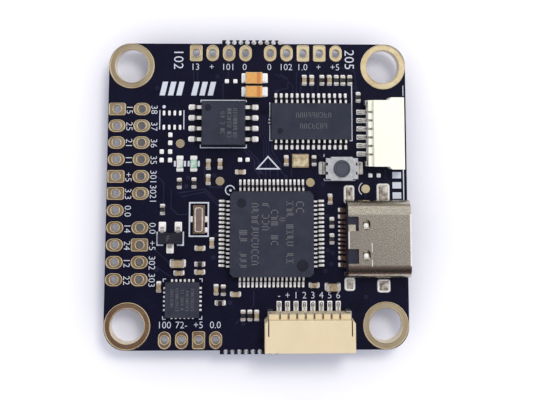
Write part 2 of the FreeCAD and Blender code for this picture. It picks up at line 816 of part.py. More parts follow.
# ---------------------------------------------------------------------------------------
# Timing parts, moulded capacitors and lamps
# ---------------------------------------------------------------------------------------
def make_resonator():
    where = {"x": "resonator_x", "y": "resonator_y", "turn": 90}
    base = new_body("resonator_base", **where)
    drawing = new_sketch(base)
    block(drawing, "0", "0", "resonator_length", "resonator_width")
    pad(base, drawing, "resonator_base_height")
    round_edges(base, "edge_round", is_upright)
    cover = new_body("resonator_cover", **where)
    drawing = new_sketch(cover, offset="resonator_base_height")
    block(drawing, "0", "0", "resonator_cover_length", "resonator_cover_width")
    pad(cover, drawing, "resonator_cover_height")
    round_edges(cover, "resonator_cover_corner", is_upright)
    round_edges(cover, "resonator_cover_bend",
                is_level_at("resonator_base_height + resonator_cover_height"))
    hollow = new_sketch(cover, offset="resonator_base_height")
    block(hollow, "0", "0", "resonator_cover_length - 2 * resonator_cover_wall",
          "resonator_cover_width - 2 * resonator_cover_wall")
    pocket(cover, hollow, "resonator_cover_height - resonator_cover_wall", reverse=True)


def make_crystal():
    where = {"x": "crystal_x", "y": "crystal_y"}
    base = new_body("crystal_base", **where)
    drawing = new_sketch(base)
    block(drawing, "0", "0", "crystal_length", "crystal_width")
    pad(base, drawing, "crystal_base_height")
    round_edges(base, "2 * edge_round", is_upright)
    lid = new_body("crystal_lid", **where)
    drawing = new_sketch(lid, offset="crystal_base_height")
    block(drawing, "0", "0", "crystal_length - 2 * lid_inset", "crystal_width - 2 * lid_inset")
    pad(lid, drawing, "crystal_lid_height")
    round_edges(lid, "2 * edge_round", is_upright)
    round_edges(lid, "edge_round", is_level_at("crystal_base_height + crystal_lid_height"))


def make_tantalums():
    body = new_body("tantalum_body_master", is_node=False)
    moulded_block(body, "tantalum_length", "tantalum_width", "tantalum_height",
                  standoff="tantalum_strap")
    straps = new_body("tantalum_strap_master", is_node=False)
    drawing = new_sketch(straps, "XZ_Plane")
    middle = "tantalum_strap + tantalum_height / 2"
    outline(drawing, [
        ("tantalum_length / 2 - tantalum_foot", "0"),
        ("tantalum_length / 2 + tantalum_strap", "0"),
        ("tantalum_length / 2 + tantalum_strap", middle),
        ("tantalum_length / 2", middle),
        ("tantalum_length / 2", "tantalum_strap"),
        ("tantalum_length / 2 - tantalum_foot", "tantalum_strap"),
    ])
    strap = pad(straps, drawing, "tantalum_strap_width", symmetric=True)
    repeat_around(straps, [strap], 2)
    copies("tantalum_capacitor_bodies", [(body, *spot) for spot in TANTALUMS])
    copies("tantalum_capacitor_terminals", [(straps, *spot) for spot in TANTALUMS])


def make_lamps():
    base = new_body("lamp_base_master", is_node=False)
    drawing = new_sketch(base)
    block(drawing, "0", "0", "lamp_length - 2 * lamp_terminal_length", "lamp_width")
    pad(base, drawing, "lamp_base_height")
    lens = new_body("lamp_lens_master", is_node=False)
    drawing = new_sketch(lens, offset="lamp_base_height")
    block(drawing, "0", "0", "lamp_lens_length", "lamp_width")
    pad(lens, drawing, "lamp_lens_height", taper="-chip_taper")
    round_edges(lens, "edge_round", is_level_at("lamp_base_height + lamp_lens_height"))
    ends = new_body("lamp_terminal_master", is_node=False)
    drawing = new_sketch(ends)
    block(drawing, "(lamp_length - lamp_terminal_length) / 2", "0", "lamp_terminal_length", "lamp_width")
    end = pad(ends, drawing, "lamp_base_height")
    repeat_around(ends, [end], 2)
    copies("status_lamp_bases", [(base, *spot) for spot in LAMPS])
    copies("status_lamp_lenses", [(lens, *spot) for spot in LAMPS])
    copies("status_lamp_terminals", [(ends, *spot) for spot in LAMPS])


# ---------------------------------------------------------------------------------------
# Small ceramic parts
# ---------------------------------------------------------------------------------------
def ceramic_middle(size, height):
    """The bare middle of a chip part, between its two metal ends."""
    piece = new_body(size + "_middle_master", is_node=False)
    drawing = new_sketch(piece)
    block(drawing, "0", "0", "%s_length - 2 * %s_terminal" % (size, size), "%s_width" % size)
    pad(piece, drawing, height)
    return piece


def metal_ends(name, size, height):
    """The two metal ends of a chip part, standing a little proud of its middle."""
    piece = new_body(name, is_node=False)
    drawing = new_sketch(piece)
    block(drawing, "(%s_length - %s_terminal) / 2" % (size, size), "0", "%s_terminal" % size,
          "%s_width + 2 * terminal_proud" % size)
    pad(piece, drawing, "%s + terminal_proud" % height)
    outer = value("%s_length / 2" % size)
    round_edges(piece, "edge_round", lambda edge: edge.BoundBox.XMin > outer - 1e-4)
    repeat_around(piece, [piece.Group[1], piece.Tip], 2)
    return piece


def make_small_capacitors():
    middle = ceramic_middle("small", "small_height")
    ends = metal_ends("small_ends_master", "small", "small_height")
    copies("small_capacitor_bodies", [(middle, *spot) for spot in SMALL_CAPACITORS])
    copies("small_capacitor_terminals", [(ends, *spot) for spot in SMALL_CAPACITORS])


def make_medium_capacitors():
    """Two on top of the board; the supply's smoothing capacitors are underneath."""
    middle = ceramic_middle("medium", "medium_height")
    ends = metal_ends("medium_ends_master", "medium", "medium_height")
    copies("medium_capacitor_bodies", [(middle, *spot) for spot in MEDIUM_CAPACITORS])
    copies("medium_capacitor_terminals", [(ends, *spot) for spot in MEDIUM_CAPACITORS])
    below = {"z": 0, "upside_down": True}
    copies("power_capacitor_bodies", [(middle, *spot) for spot in POWER_CAPACITORS], **below)
    copies("power_capacitor_terminals", [(ends, *spot) for spot in POWER_CAPACITORS], **below)


def make_resistors():
    """A white ceramic slab with metal ends and a dark coat over the resistive film."""
    slab = new_body("resistor_slab_master", is_node=False)
    drawing = new_sketch(slab)
    block(drawing, "0", "0", "small_length - 2 * small_terminal", "small_width")
    pad(slab, drawing, "resistor_height")
    coat = new_body("resistor_coat_master", is_node=False)
    drawing = new_sketch(coat, offset="resistor_height")
    block(drawing, "0", "0", "small_length - 2 * small_terminal", "small_width")
    pad(coat, drawing, "resistor_coat")
    ends = metal_ends("resistor_ends_master", "small", "resistor_height")
    copies("resistor_bodies", [(slab, *spot) for spot in RESISTORS])
    copies("resistor_coats", [(coat, *spot) for spot in RESISTORS])
    copies("resistor_terminals", [(ends, *spot) for spot in RESISTORS])


# ---------------------------------------------------------------------------------------
# Push button: a plunger that clicks a metal dome under a pressed cover
# ---------------------------------------------------------------------------------------
def make_button():
    where = {"x": "button_x", "y": "button_y"}
    base = new_body("button_base", **where)
    drawing = new_sketch(base)
    block(drawing, "0", "0", "button_length", "button_width")
    pad(base, drawing, "button_base_height")
    well = new_sketch(base, offset="button_base_height")
    circle(well, "0", "0", "button_cavity_radius")
    pocket(base, well, "button_base_height - button_floor")

    cover = new_body("button_cover", **where)
    plate = new_sketch(cover, offset="button_base_height")
    block(plate, "0", "0", "button_cover_length", "button_width")
    circle(plate, "0", "0", "plunger_radius + plunger_clearance")
    pad(cover, plate, "button_cover_thickness")
    flaps = new_sketch(cover, offset="button_base_height + button_cover_thickness")
    for side in ("", "-"):
        block(flaps, "0", "%s(button_width + button_cover_thickness) / 2" % side,
              "button_flap_width", "button_cover_thickness")
    pad(cover, flaps, "button_cover_thickness + button_flap_drop", reverse=True)
    notches = new_sketch(cover, offset="button_base_height + button_cover_thickness")
    for end in ("", "-"):
        for side in ("", "-"):
            block(notches, "%s(button_cover_length - button_notch_depth) / 2" % end,
                  "%sbutton_notch_offset" % side, "button_notch_depth", "button_notch_width")
    pocket(cover, notches, "button_cover_thickness")

    plunger = new_body("button_plunger", **where)
    flange_top = "button_base_height - button_gap"
    drawing = new_sketch(plunger, "XZ_Plane")
    outline(drawing, [
        ("0", "%s - plunger_flange_height" % flange_top),
        ("plunger_flange_radius", "%s - plunger_flange_height" % flange_top),
        ("plunger_flange_radius", flange_top),
        ("plunger_radius", flange_top),
        ("plunger_radius", "plunger_top"),
        ("plunger_groove_radius + plunger_groove", "plunger_top"),
        ("plunger_groove_radius", "plunger_top - plunger_groove"),
        ("plunger_groove_radius - plunger_groove", "plunger_top"),
        ("0", "plunger_top"),
    ])
    revolve(plunger, drawing)
    rim = value("plunger_radius")
    round_edges(plunger, "edge_round", lambda edge: is_level_at("plunger_top")(edge)
                and edge.BoundBox.XMax > rim - 1e-4)

    dome = new_body("button_dome", **where)
    top = "%s - plunger_flange_height - button_gap" % flange_top
    drawing = new_sketch(dome, "XZ_Plane")
    arched_sheet(drawing, "dome_radius", "button_floor", top, "dome_sheet")
    revolve(dome, drawing)

    terminals = new_body("button_terminals", **where)
    foot = bent_lead(terminals, "button_length / 2", "button_foot_reach", "button_foot_level",
                     "button_cover_thickness", "button_foot_width")
    repeat_around(terminals, [foot], 2)


def arched_sheet(drawing, rim, low, high, sheet_thickness):
    """Half the section of a shallow dome, from its crown on the axis out to its rim."""
    rim_reach, bottom, crown = value(rim), value(low), value(high)
    thick = value(sheet_thickness)
    middle = rim_reach * 0.7071
    # points of two parallel circles of a dome that rises from bottom to crown
    rise = crown - thick - bottom
    radius = (rim_reach ** 2 + rise ** 2) / (2 * rise)
    centre = crown - thick - radius

    def on_circle(across, size):
        return FreeCAD.Vector(across, centre + (size ** 2 - across ** 2) ** 0.5)

    outer_radius = radius + thick
    inner = Part.Arc(on_circle(0, radius), on_circle(middle, radius), on_circle(rim_reach, radius))
    outer_rim = rim_reach * outer_radius / radius
    outer = Part.Arc(on_circle(0, outer_radius), on_circle(middle, outer_radius),
                     on_circle(outer_rim, outer_radius))
    drawing.addGeometry(inner, False)
    drawing.addGeometry(outer, False)
    drawing.addGeometry(Part.LineSegment(on_circle(0, radius), on_circle(0, outer_radius)), False)
    drawing.addGeometry(Part.LineSegment(on_circle(rim_reach, radius),
                                         on_circle(outer_rim, outer_radius)), False)


# ---------------------------------------------------------------------------------------
# USB port
# ---------------------------------------------------------------------------------------
def make_usb_port():
    """Its own X axis runs from the closed back to the mouth."""
    where = {"x": "usb_rear_x", "y": "usb_y"}
    middle = "usb_height / 2"
    inner_width, inner_height = "usb_width - 2 * usb_wall", "usb_height - 2 * usb_wall"

    shell = new_body("usb_shell", **where)
    tube = new_sketch(shell, "YZ_Plane")
    stadium(tube, "0", middle, "usb_width", "usb_height")
    stadium(tube, "0", middle, inner_width, inner_height)
    pad(shell, tube, "usb_length")
    legs = new_sketch(shell, offset="-board_thickness - usb_leg_below")
    for step in (0, 1):
        for side in ("", "-"):
            block(legs, "usb_leg_rear + usb_leg_spacing * %d" % step,
                  "%s(usb_width - usb_wall) / 2" % side, "usb_leg_length", "usb_wall * 0.9")
    pad(shell, legs, "board_thickness + usb_leg_below + usb_height * 0.44")
    cuts = new_sketch(shell, offset="usb_height")
    for side in ("", "-"):
        block(cuts, "usb_notch_length / 2", "%susb_notch_offset" % side, "usb_notch_length",
              "usb_notch_width")
    pocket(shell, cuts, "2 * usb_wall")
    springs = new_sketch(shell, offset="usb_height")
    for side in ("", "-"):
        stadium(springs, "usb_spring_hole_x", "%susb_spring_hole_offset" % side,
                "usb_spring_hole_length", "usb_spring_hole_width", upright=True)
    pocket(shell, springs, "2 * usb_wall")

    holder = new_body("usb_contact_holder", **where)
    back = new_sketch(holder, "YZ_Plane")
    stadium(back, "0", middle, inner_width, inner_height)
    pad(holder, back, "usb_back_length")
    tongue = new_sketch(holder, "YZ_Plane")
    block(tongue, "0", middle, "usb_tongue_width", "usb_tongue_thickness")
    pad(holder, tongue, "usb_length - usb_tongue_setback")
    front = value("usb_length - usb_tongue_setback")
    bevel_edges(holder, "usb_tongue_thickness / 4", lambda edge: edge.BoundBox.XMin > front - 1e-4
                and edge.BoundBox.YLength > 1)

    contacts = new_body("usb_contacts", **where)
    strips = new_sketch(contacts, "YZ_Plane", offset="usb_back_length")
    for side in ("+", "-"):
        block(strips, "usb_contact_pitch * -5.5",
              "%s %s (usb_tongue_thickness + usb_contact_height) / 2" % (middle, side),
              "usb_contact_width", "usb_contact_height")
    strip = pad(contacts, strips, "usb_contact_length")
    repeat_row(contacts, [strip], 12, "usb_contact_pitch")
    for offset in USB_TAILS + USB_WIDE_TAILS:
        for side in ("", "-"):
            width = "usb_wide_tail_width" if offset in USB_WIDE_TAILS else "usb_tail_width"
            usb_tail(contacts, "%s%s" % (side, offset), width)


def usb_tail(piece, along, width):
    """One soldering tail behind the port: it rises in front of the foot and enters the holder."""
    drawing = new_sketch(piece, "XZ_Plane", offset="-(%s)" % along)
    outline(drawing, [
        ("-usb_tail_reach", "0"),
        ("-button_gap", "0"),
        ("-button_gap", "usb_tail_rise"),
        ("-usb_contact_width", "usb_tail_rise"),
        ("-usb_contact_width - fine_lead_thickness", "fine_lead_thickness"),
        ("-usb_tail_reach", "fine_lead_thickness"),
    ])
    return pad(piece, drawing, width, symmetric=True)


# ---------------------------------------------------------------------------------------
# Wire connectors. Their own X axis runs from the soldered side to the mouth.
# ---------------------------------------------------------------------------------------
def make_wire_connector(name, count, ear_start, recess_height, **where):
    """The ears widen the front, and the recess down each side takes the anchor's sheet."""
    row = "plug_pitch * %d" % (count - 1)
    width = "(%s + plug_side_room)" % row
    first = "(-(%s) / 2)" % row

    housing = new_body(name + "_housing", **where)
    rear = new_sketch(housing)
    block(rear, "plug_shelf", "0", "2 * plug_shelf", width)
    pad(housing, rear, "plug_shelf_height")
    main = new_sketch(housing)
    length = "(plug_length - plug_shelf)"
    block(main, "plug_shelf + %s / 2" % length, "0", length, width)
    pad(housing, main, "plug_height")
    ears = new_sketch(housing)
    ear_length = "(plug_length - %s)" % ear_start
    block(ears, "%s + %s / 2" % (ear_start, ear_length), "0", ear_length, "%s + 2 * plug_ear" % width)
    pad(housing, ears, "plug_height")
    ear_face = value(ear_start)
    bevel_edges(housing, "plug_ear * 0.9", lambda edge: is_upright(edge)
                and abs(edge.BoundBox.XMin - ear_face) < 1e-4
                and abs(edge.BoundBox.YMin) > value("%s / 2" % width) + 1e-4)
    round_edges(housing, "edge_round", is_level_at("plug_height"))
    mouth = new_sketch(housing, "YZ_Plane", offset="plug_length")
    block(mouth, "0", "plug_cavity_floor + plug_cavity_height / 2", "%s + plug_cavity_side_room" % row,
          "plug_cavity_height")
    pocket(housing, mouth, "plug_cavity_depth")
    # slits across the shelf over the contacts, and slots that let them into the mouth
    slit = new_sketch(housing, offset="plug_shelf_height")
    block(slit, "plug_shelf / 2", first, "plug_shelf", "plug_contact_width + 2 * button_gap")
    slit_cut = pocket(housing, slit, "plug_shelf_height")
    slot = new_sketch(housing, "YZ_Plane")
    block(slot, first, "plug_contact_level", "plug_contact_width + 2 * button_gap",
          "plug_contact_sheet + 2 * button_gap")
    slot_cut = pocket(housing, slot, "plug_contact_reach", reverse=True)
    repeat_row(housing, [slit_cut, slot_cut], count, "plug_pitch")
    recess = new_sketch(housing)
    for side in ("", "-"):
        block(recess, "plug_anchor_length / 2", "%s(%s - plug_anchor_sheet) / 2" % (side, width),
              "plug_anchor_length", "plug_anchor_sheet")
    pocket(housing, recess, recess_height, reverse=True)

    contacts = new_body(name + "_contacts", **where)
    drawing = new_sketch(contacts, "XZ_Plane", offset="-%s" % first)
    low = "plug_contact_level - plug_contact_sheet / 2"
    high = "plug_contact_level + plug_contact_sheet / 2"
    outline(drawing, [
        ("-plug_foot_reach", "0"),
        ("plug_contact_sheet", "0"),
        ("plug_contact_sheet", low),
        ("plug_contact_reach", low),
        ("plug_contact_reach", high),
        ("0", high),
        ("0", "plug_contact_sheet"),
        ("-plug_foot_reach", "plug_contact_sheet"),
    ])
    contact = pad(contacts, drawing, "plug_contact_width", symmetric=True)
    repeat_row(contacts, [contact], count, "plug_pitch")

    anchors = new_body(name + "_anchors", **where)
    drawing = new_sketch(anchors)
    for side in ("", "-"):
        edge = "%s(%s) / 2" % (side, width)
        inner = "%s((%s) / 2 - plug_anchor_sheet)" % (side, width)
        turned = "%s((%s) / 2 - plug_anchor_return)" % (side, width)
        outline(drawing, [
            ("-plug_anchor_gap - plug_anchor_sheet", turned),
            ("-plug_anchor_gap - plug_anchor_sheet", edge),
            ("plug_anchor_length", edge),
            ("plug_anchor_length", inner),
            ("-plug_anchor_gap", inner),
            ("-plug_anchor_gap", turned),
        ])
    pad(anchors, drawing, "plug_anchor_height")


# ---------------------------------------------------------------------------------------
# Power supply under the board
# ---------------------------------------------------------------------------------------
def make_power_coil():
    where = {"x": "coil_x", "y": "coil_y", "z": 0, "upside_down": True}
    core = new_body("power_coil_core", **where)
    drawing = new_sketch(core, offset="coil_terminal_height")
    block(drawing, "0", "0", "coil_side", "coil_side")
    pad(core, drawing, "coil_height - coil_terminal_height")
    round_edges(core, "6 * edge_round", is_upright)
    terminals = new_body("power_coil_terminals", **where)
    drawing = new_sketch(terminals)
    block(drawing, "(coil_side - coil_terminal) / 2", "0", "coil_terminal", "coil_terminal_width")
    terminal = pad(terminals, drawing, "coil_terminal_height")
    repeat_around(terminals, [terminal], 2)


def make_regulator(name, front_leads, **where):
    """A small regulator: three leads on one side, and two or three on the other."""
    shell = new_body(name + "_body", z=0, turn=90, upside_down=True, **where)
    moulded_block(shell, "regulator_width", "regulator_length", "regulator_height")
    leads = new_body(name + "_leads", z=0, turn=90, upside_down=True, **where)
    for side, count in ((1, 3), (-1, front_leads)):
        lead = bent_lead(leads, "regulator_width / 2", "regulator_span / 2",
                         "chip_standoff + regulator_height / 2", "fine_lead_thickness",
                         "regulator_lead_width", along="-regulator_pitch", side=side)
        repeat_row(leads, [lead], count, "regulator_pitch * %d" % (2 / (count - 1)))


# ---------------------------------------------------------------------------------------
# Build, check and write every piece
# ---------------------------------------------------------------------------------------
make_circuit_board()
make_hole_plating()
make_wire_pads()
make_test_pads()
make_processor()
make_overlay_chip()
make_memory_chip()
make_motion_sensor()
make_transistor()
make_resonator()
make_crystal()
make_tantalums()
make_lamps()
make_small_capacitors()
make_medium_capacitors()
make_resistors()
make_button()
make_usb_port()
make_wire_connector("esc_connector", 8, "esc_ear_start", "plug_height",
                    x="esc_x", y="esc_rear_y", turn=-90)
make_wire_connector("video_connector", 6, "video_ear_start", "plug_anchor_height",
                    x="video_rear_x", y="video_y")
make_power_coil()
make_regulator("power_regulator", 3, x="regulator_x", y="regulator_y")
make_regulator("logic_regulator", 2, x="logic_regulator_x", y="logic_regulator_y")
doc.recompute()

for thing in doc.Objects:
    if "Invalid" in thing.State or "Error" in thing.State:
        raise RuntimeError("%s can't be worked out" % thing.Label)
os.makedirs("parts", exist_ok=True)
for node in nodes:
    if node.Shape.isNull() or not node.Shape.isValid() or not node.Shape.Solids:
        raise RuntimeError("%s has no sound shape" % node.Label)
for node in nodes:
    node.Shape.exportStep("parts/%s.step" % node.Label)
print("%d nodes written" % len(nodes))
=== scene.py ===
# Looks of the flight controller board: materials for every CAD node, and the fine detail
# that belongs to its surface: solder, printed marks, copper under the mask and seams.
# Sizes in this script are millimetres in the board's own frame; a piece is turned into
# metres when its mesh is made.
import json
import math
import random

import bmesh
import bpy
from mathutils import Euler, Matrix, Vector


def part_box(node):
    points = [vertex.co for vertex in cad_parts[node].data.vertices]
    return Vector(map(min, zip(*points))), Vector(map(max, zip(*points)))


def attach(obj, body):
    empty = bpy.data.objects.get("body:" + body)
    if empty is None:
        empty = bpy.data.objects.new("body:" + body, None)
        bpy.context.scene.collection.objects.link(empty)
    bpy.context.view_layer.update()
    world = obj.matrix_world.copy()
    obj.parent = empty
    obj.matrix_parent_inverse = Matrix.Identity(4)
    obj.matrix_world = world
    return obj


METRE = 1000.0
SEED = 7

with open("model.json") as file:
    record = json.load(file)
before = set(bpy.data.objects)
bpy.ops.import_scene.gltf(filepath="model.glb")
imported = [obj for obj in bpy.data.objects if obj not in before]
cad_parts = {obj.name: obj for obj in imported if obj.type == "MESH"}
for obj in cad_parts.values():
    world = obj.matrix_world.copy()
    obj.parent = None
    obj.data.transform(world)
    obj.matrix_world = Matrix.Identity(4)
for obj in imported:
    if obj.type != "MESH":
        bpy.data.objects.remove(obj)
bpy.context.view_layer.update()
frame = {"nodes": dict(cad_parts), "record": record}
nodes = frame["nodes"]
rng = random.Random(SEED)


# ---- Reading the frame, in millimetres ----
class Box:
    """A box around a node or around one solid of it."""

    def __init__(self, low, high):
        self.low = Vector(tuple(low))
        self.high = Vector(tuple(high))

    @property
    def middle(self):
        return (self.low + self.high) / 2

    @property
    def size(self):
        return self.high - self.low


def node_box(name):
    low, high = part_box(name)
    return Box(low * METRE, high * METRE)


def solids(name):
    """A box around each separate solid of a node, from left to right and bottom to top."""
    mesh = nodes[name].data
    groups = {}

    def root(key):
        while groups[key] != key:
            groups[key] = groups[groups[key]]
            key = groups[key]
        return key

    keys = [tuple(round(c * METRE, 3) for c in vertex.co) for vertex in mesh.vertices]
    for key in keys:
        groups[key] = key
    for edge in mesh.edges:
        first, second = root(keys[edge.vertices[0]]), root(keys[edge.vertices[1]])
        groups[first] = second
    members = {}
    for key in set(keys):
        members.setdefault(root(key), []).append(key)
    found = [Box(map(min, zip(*points)), map(max, zip(*points))) for points in members.values()]
    return sorted(found, key=lambda b: (round(b.middle.x, 2), round(b.middle.y, 2), b.middle.z))


BOARD = node_box("circuit_board")
TOP = BOARD.high.z
UNDER = BOARD.low.z


# ---- Materials ----
def linear(colour):
    """A colour of three 0 to 255 display values, as the shader wants it; one of four is ready."""
    if len(colour) == 4:
        return colour
    shares = [value / 255 for value in colour]
    return (*(s / 12.92 if s <= 0.04045 else ((s + 0.055) / 1.055) ** 2.4 for s in shares), 1.0)


class Nodes:
    """Short ways to add and join the nodes of a material or of the world."""

    def add(self, kind, **settings):
        node = self.tree.nodes.new(kind)
        for key, value in settings.items():
            setattr(node, key, value)
        return node

    def join(self, source, target):
        self.tree.links.new(source, target)

    def feed(self, socket, value):
        """Join a socket to another one, or give it a plain value."""
        if hasattr(value, "is_linked"):
            self.join(value, socket)
        elif value is not None:
            socket.default_value = linear(value) if isinstance(value, tuple) else value

    def grade(self, factor, low, high, start=0.3, end=0.7):
        """A number that goes from low to high as the factor goes from start to end."""
        span = self.add("ShaderNodeMapRange")
        for key, value in (("From Min", start), ("From Max", end), ("To Min", low), ("To Max", high)):
            span.inputs[key].default_value = value
        self.join(factor, span.inputs["Value"])
        return span.outputs["Result"]

    def ramp(self, factor, *stops):
        """A colour ramp: stops are (position, colour)."""
        ramp = self.add("ShaderNodeValToRGB")
        band = ramp.color_ramp
        while len(band.elements) < len(stops):
            band.elements.new(0.5)
        for element, (position, colour) in zip(band.elements, stops):
            element.position = position
            element.color = linear(colour)
        self.join(factor, ramp.inputs["Fac"])
        return ramp.outputs["Color"]

    def mix(self, factor, first, second, blend="MIX"):
        """Blend two colours, each a socket or a value."""
        node = self.add("ShaderNodeMix", data_type="RGBA", blend_type=blend)
        for index, value in ((0, factor), (6, first), (7, second)):
            self.feed(node.inputs[index], value)
        return node.outputs[2]


looks = {}


class Look(Nodes):
    """One procedural material, kept by its name. Patterns are laid out in the board's frame.

    Colours are three 0 to 255 display values."""

    def __init__(self, name, colour, roughness, metallic=0.0, **inputs):
        self.material = bpy.data.materials.new(name)
        looks[name] = self.material
        self.material.use_nodes = True
        self.tree = self.material.node_tree
        self.shader = self.tree.nodes["Principled BSDF"]
        plain = {"Base Color": colour, "Roughness": roughness, "Metallic": metallic}
        for key, value in {**plain, **inputs}.items():
            self.feed(self.shader.inputs[key.replace("_", " ")], value)
        self.place = self.add("ShaderNodeTexCoord").outputs["Object"]
        self.height = None

    def noise(self, grain, detail=4.0, stretch=(1, 1, 1), sharp=0.55):
        """Noise whose blotches are about grain millimetres across."""
        mapping = self.add("ShaderNodeMapping")
        mapping.inputs["Scale"].default_value = [s * METRE / grain for s in stretch]
        self.join(self.place, mapping.inputs["Vector"])
        pattern = self.add("ShaderNodeTexNoise")
        for key, value in (("Scale", 1.0), ("Detail", detail), ("Roughness", sharp)):
            pattern.inputs[key].default_value = value
        self.join(mapping.outputs["Vector"], pattern.inputs["Vector"])
        return pattern.outputs["Fac"]

    def math(self, operation, first, second=None):
        node = self.add("ShaderNodeMath", operation=operation)
        for socket, value in zip(node.inputs, (first, second)):
            self.feed(socket, value)
        return node.outputs["Value"]

    def axis(self, name):
        """One coordinate in millimetres."""
        split = self.add("ShaderNodeSeparateXYZ")
        self.join(self.place, split.inputs["Vector"])
        return self.math("MULTIPLY", split.outputs[name], METRE)

    def upward(self):
        """How far a face looks up or down, from 0 on a wall to 1 on a level face."""
        geometry = self.add("ShaderNodeNewGeometry")
        split = self.add("ShaderNodeSeparateXYZ")
        self.join(geometry.outputs["True Normal"], split.inputs["Vector"])
        return self.math("ABSOLUTE", split.outputs["Z"])

    def colour(self, socket):
        self.join(socket, self.shader.inputs["Base Color"])

    def rough(self, socket):
        self.join(socket, self.shader.inputs["Roughness"])

    def bump(self, socket, depth, strength=1.0):
        """Relief of a depth in millimetres."""
        node = self.add("ShaderNodeBump")
        node.inputs["Distance"].default_value = depth / METRE
        node.inputs["Strength"].default_value = strength
        self.join(socket, node.inputs["Height"])
        if self.height:
            self.join(self.height, node.inputs["Normal"])
        self.height = node.outputs["Normal"]
        self.join(self.height, self.shader.inputs["Normal"])


def mask_look(name, base, glow):
    """Solder mask over laminate: satin black, with a faint weave and bare fibre at the edges."""
    look = Look(name, base, 0.34, Specular_IOR_Level=0.09)
    clouds = look.noise(2.4, 5)
    mask = look.ramp(clouds, (0.3, base), (0.75, glow))
    layers = look.noise(0.9, 6, stretch=(0.6, 0.6, 9.0))
    bare = look.ramp(layers, (0.3, (58, 48, 34)), (0.6, (116, 100, 68)),
                     (0.8, (150, 136, 100)))
    edge = look.grade(look.upward(), 1.0, 0.0, 0.3, 0.6)
    look.colour(look.mix(edge, mask, bare))
    look.rough(look.grade(look.noise(0.35, 4), 0.24, 0.4))
    weave = look.math("MULTIPLY", look.noise(0.28, 2, stretch=(1, 0.18, 1)),
                      look.noise(0.28, 2, stretch=(0.18, 1, 1)))
    look.bump(weave, 0.004, 0.5)
    look.bump(look.noise(0.06, 3), 0.0015, 0.4)


def metal_look(name, colour, tint, roughness, grain=0.3, stretch=(1, 1, 1), relief=0.004, dull=0.16,
               metallic=1.0):
    """Plated or bare metal with uneven polish and a slight stain; rough metal is half diffuse."""
    look = Look(name, colour, roughness, metallic)
    patches = look.noise(grain * 4, 4, stretch)
    look.colour(look.mix(look.grade(patches, 0.0, 1.0, 0.35, 0.7), colour, tint))
    look.rough(look.grade(look.noise(grain, 5, stretch), roughness - dull / 2, roughness + dull))
    look.bump(look.noise(grain, 4, stretch), relief, 0.6)
    look.bump(look.noise(grain / 6, 3, stretch), relief / 4, 0.5)


def resin_look(name, colour, light, roughness=0.55, grain=0.05, relief=0.006):
    """Moulded resin with the fine spark-eroded grain of its mould and pale filler specks."""
    look = Look(name, colour, roughness, Specular_IOR_Level=0.2)
    clouds = look.noise(1.6, 3)
    specks = look.noise(grain, 2, sharp=0.7)
    cloudy = look.mix(look.grade(clouds, 0.0, 0.5, 0.3, 0.8), colour, light)
    look.colour(look.mix(look.grade(specks, 0.0, 0.7, 0.55, 0.8), cloudy, light))
    look.rough(look.grade(specks, roughness - 0.06, roughness + 0.12))
    look.bump(look.noise(grain * 1.5, 3), relief, 0.55)
    look.bump(look.noise(1.1, 2), relief * 2, 0.12)


def plastic_look(name, colour, shade, roughness=0.42, depth=0.25, relief=0.004):
    """Moulded plastic that lets a little light in, with flow marks and a fine texture."""
    look = Look(name, colour, roughness, Subsurface_Weight=depth, Subsurface_Scale=0.0006,
                Specular_IOR_Level=0.45)
    look.shader.inputs["Subsurface Radius"].default_value = (1.0, 0.75, 0.45)
    flow = look.noise(2.2, 4, stretch=(1, 0.5, 1))
    fine = look.noise(0.07, 3)
    look.colour(look.mix(look.grade(flow, 0.0, 1.0, 0.3, 0.75), colour, shade))
    look.rough(look.grade(fine, roughness - 0.06, roughness + 0.1))
    look.bump(fine, relief, 0.35)
    look.bump(flow, relief * 3, 0.2)


def ceramic_look(name, colour, shade, roughness=0.4):
    """Fired ceramic: fine pores and cloudy colour."""
    look = Look(name, colour, roughness, Specular_IOR_Level=0.5)
    clouds = look.noise(0.35, 4)
    pores = look.noise(0.035, 2, sharp=0.7)
    cloudy = look.mix(look.grade(clouds, 0.0, 1.0, 0.35, 0.7), colour, shade)
    look.colour(look.mix(look.grade(pores, 0.0, 0.5, 0.6, 0.8), cloudy, shade))
    look.rough(look.grade(pores, roughness - 0.05, roughness + 0.15))
    look.bump(look.noise(0.05, 3), 0.004, 0.5)


def print_look(name, colour, shade):
    """Screen-printed ink: matt, with a slightly broken body."""
    look = Look(name, colour, 0.6)
    grain = look.noise(0.06, 4, sharp=0.7)
    look.colour(look.mix(look.grade(grain, 0.0, 1.0, 0.45, 0.75), colour, shade))
    look.rough(look.grade(grain, 0.5, 0.7))
    look.bump(grain, 0.006, 0.6)


def tantalum_look():
    """Orange moulded resin with a darker stripe near one end, and pale bevelled edges that are a painted
    highlight.
    """
    body = solids("tantalum_capacitor_bodies")[0]
    look = Look("orange_resin", (216, 150, 82), 0.5, Specular_IOR_Level=0.3)
    share = look.grade(look.axis("X"), 0.0, 1.0, body.low.x, body.high.x)
    clouds = look.noise(0.5, 4, stretch=(1, 0.4, 1))
    marks = look.grade(look.noise(0.16, 2, sharp=0.4), 0.0, 0.55, 0.52, 0.6)
    plain = look.mix(marks, (220, 166, 94), (196, 126, 70))
    stripe = look.mix(clouds, (206, 138, 76), (190, 120, 66))
    light = look.mix(clouds, (232, 178, 112), (220, 160, 92))
    black, white = (0, 0, 0), (255, 255, 255)
    marked = look.ramp(share, (0.0, black), (0.64, black), (0.68, white), (0.86, white), (0.89, black))
    ended = look.grade(share, 0.0, 1.0, 0.87, 0.9)
    flat = look.mix(marked, look.mix(ended, plain, light), stripe)
    # Painted highlight: every face that is not level (bevels, ends, sides) is painted pale cream.
    level = look.grade(look.upward(), 0.0, 1.0, 0.8, 0.97)
    look.colour(look.mix(level, (240, 214, 168), flat))
    look.rough(look.grade(look.noise(0.06, 3), 0.42, 0.6))
    look.bump(look.noise(0.07, 3), 0.006, 0.5)


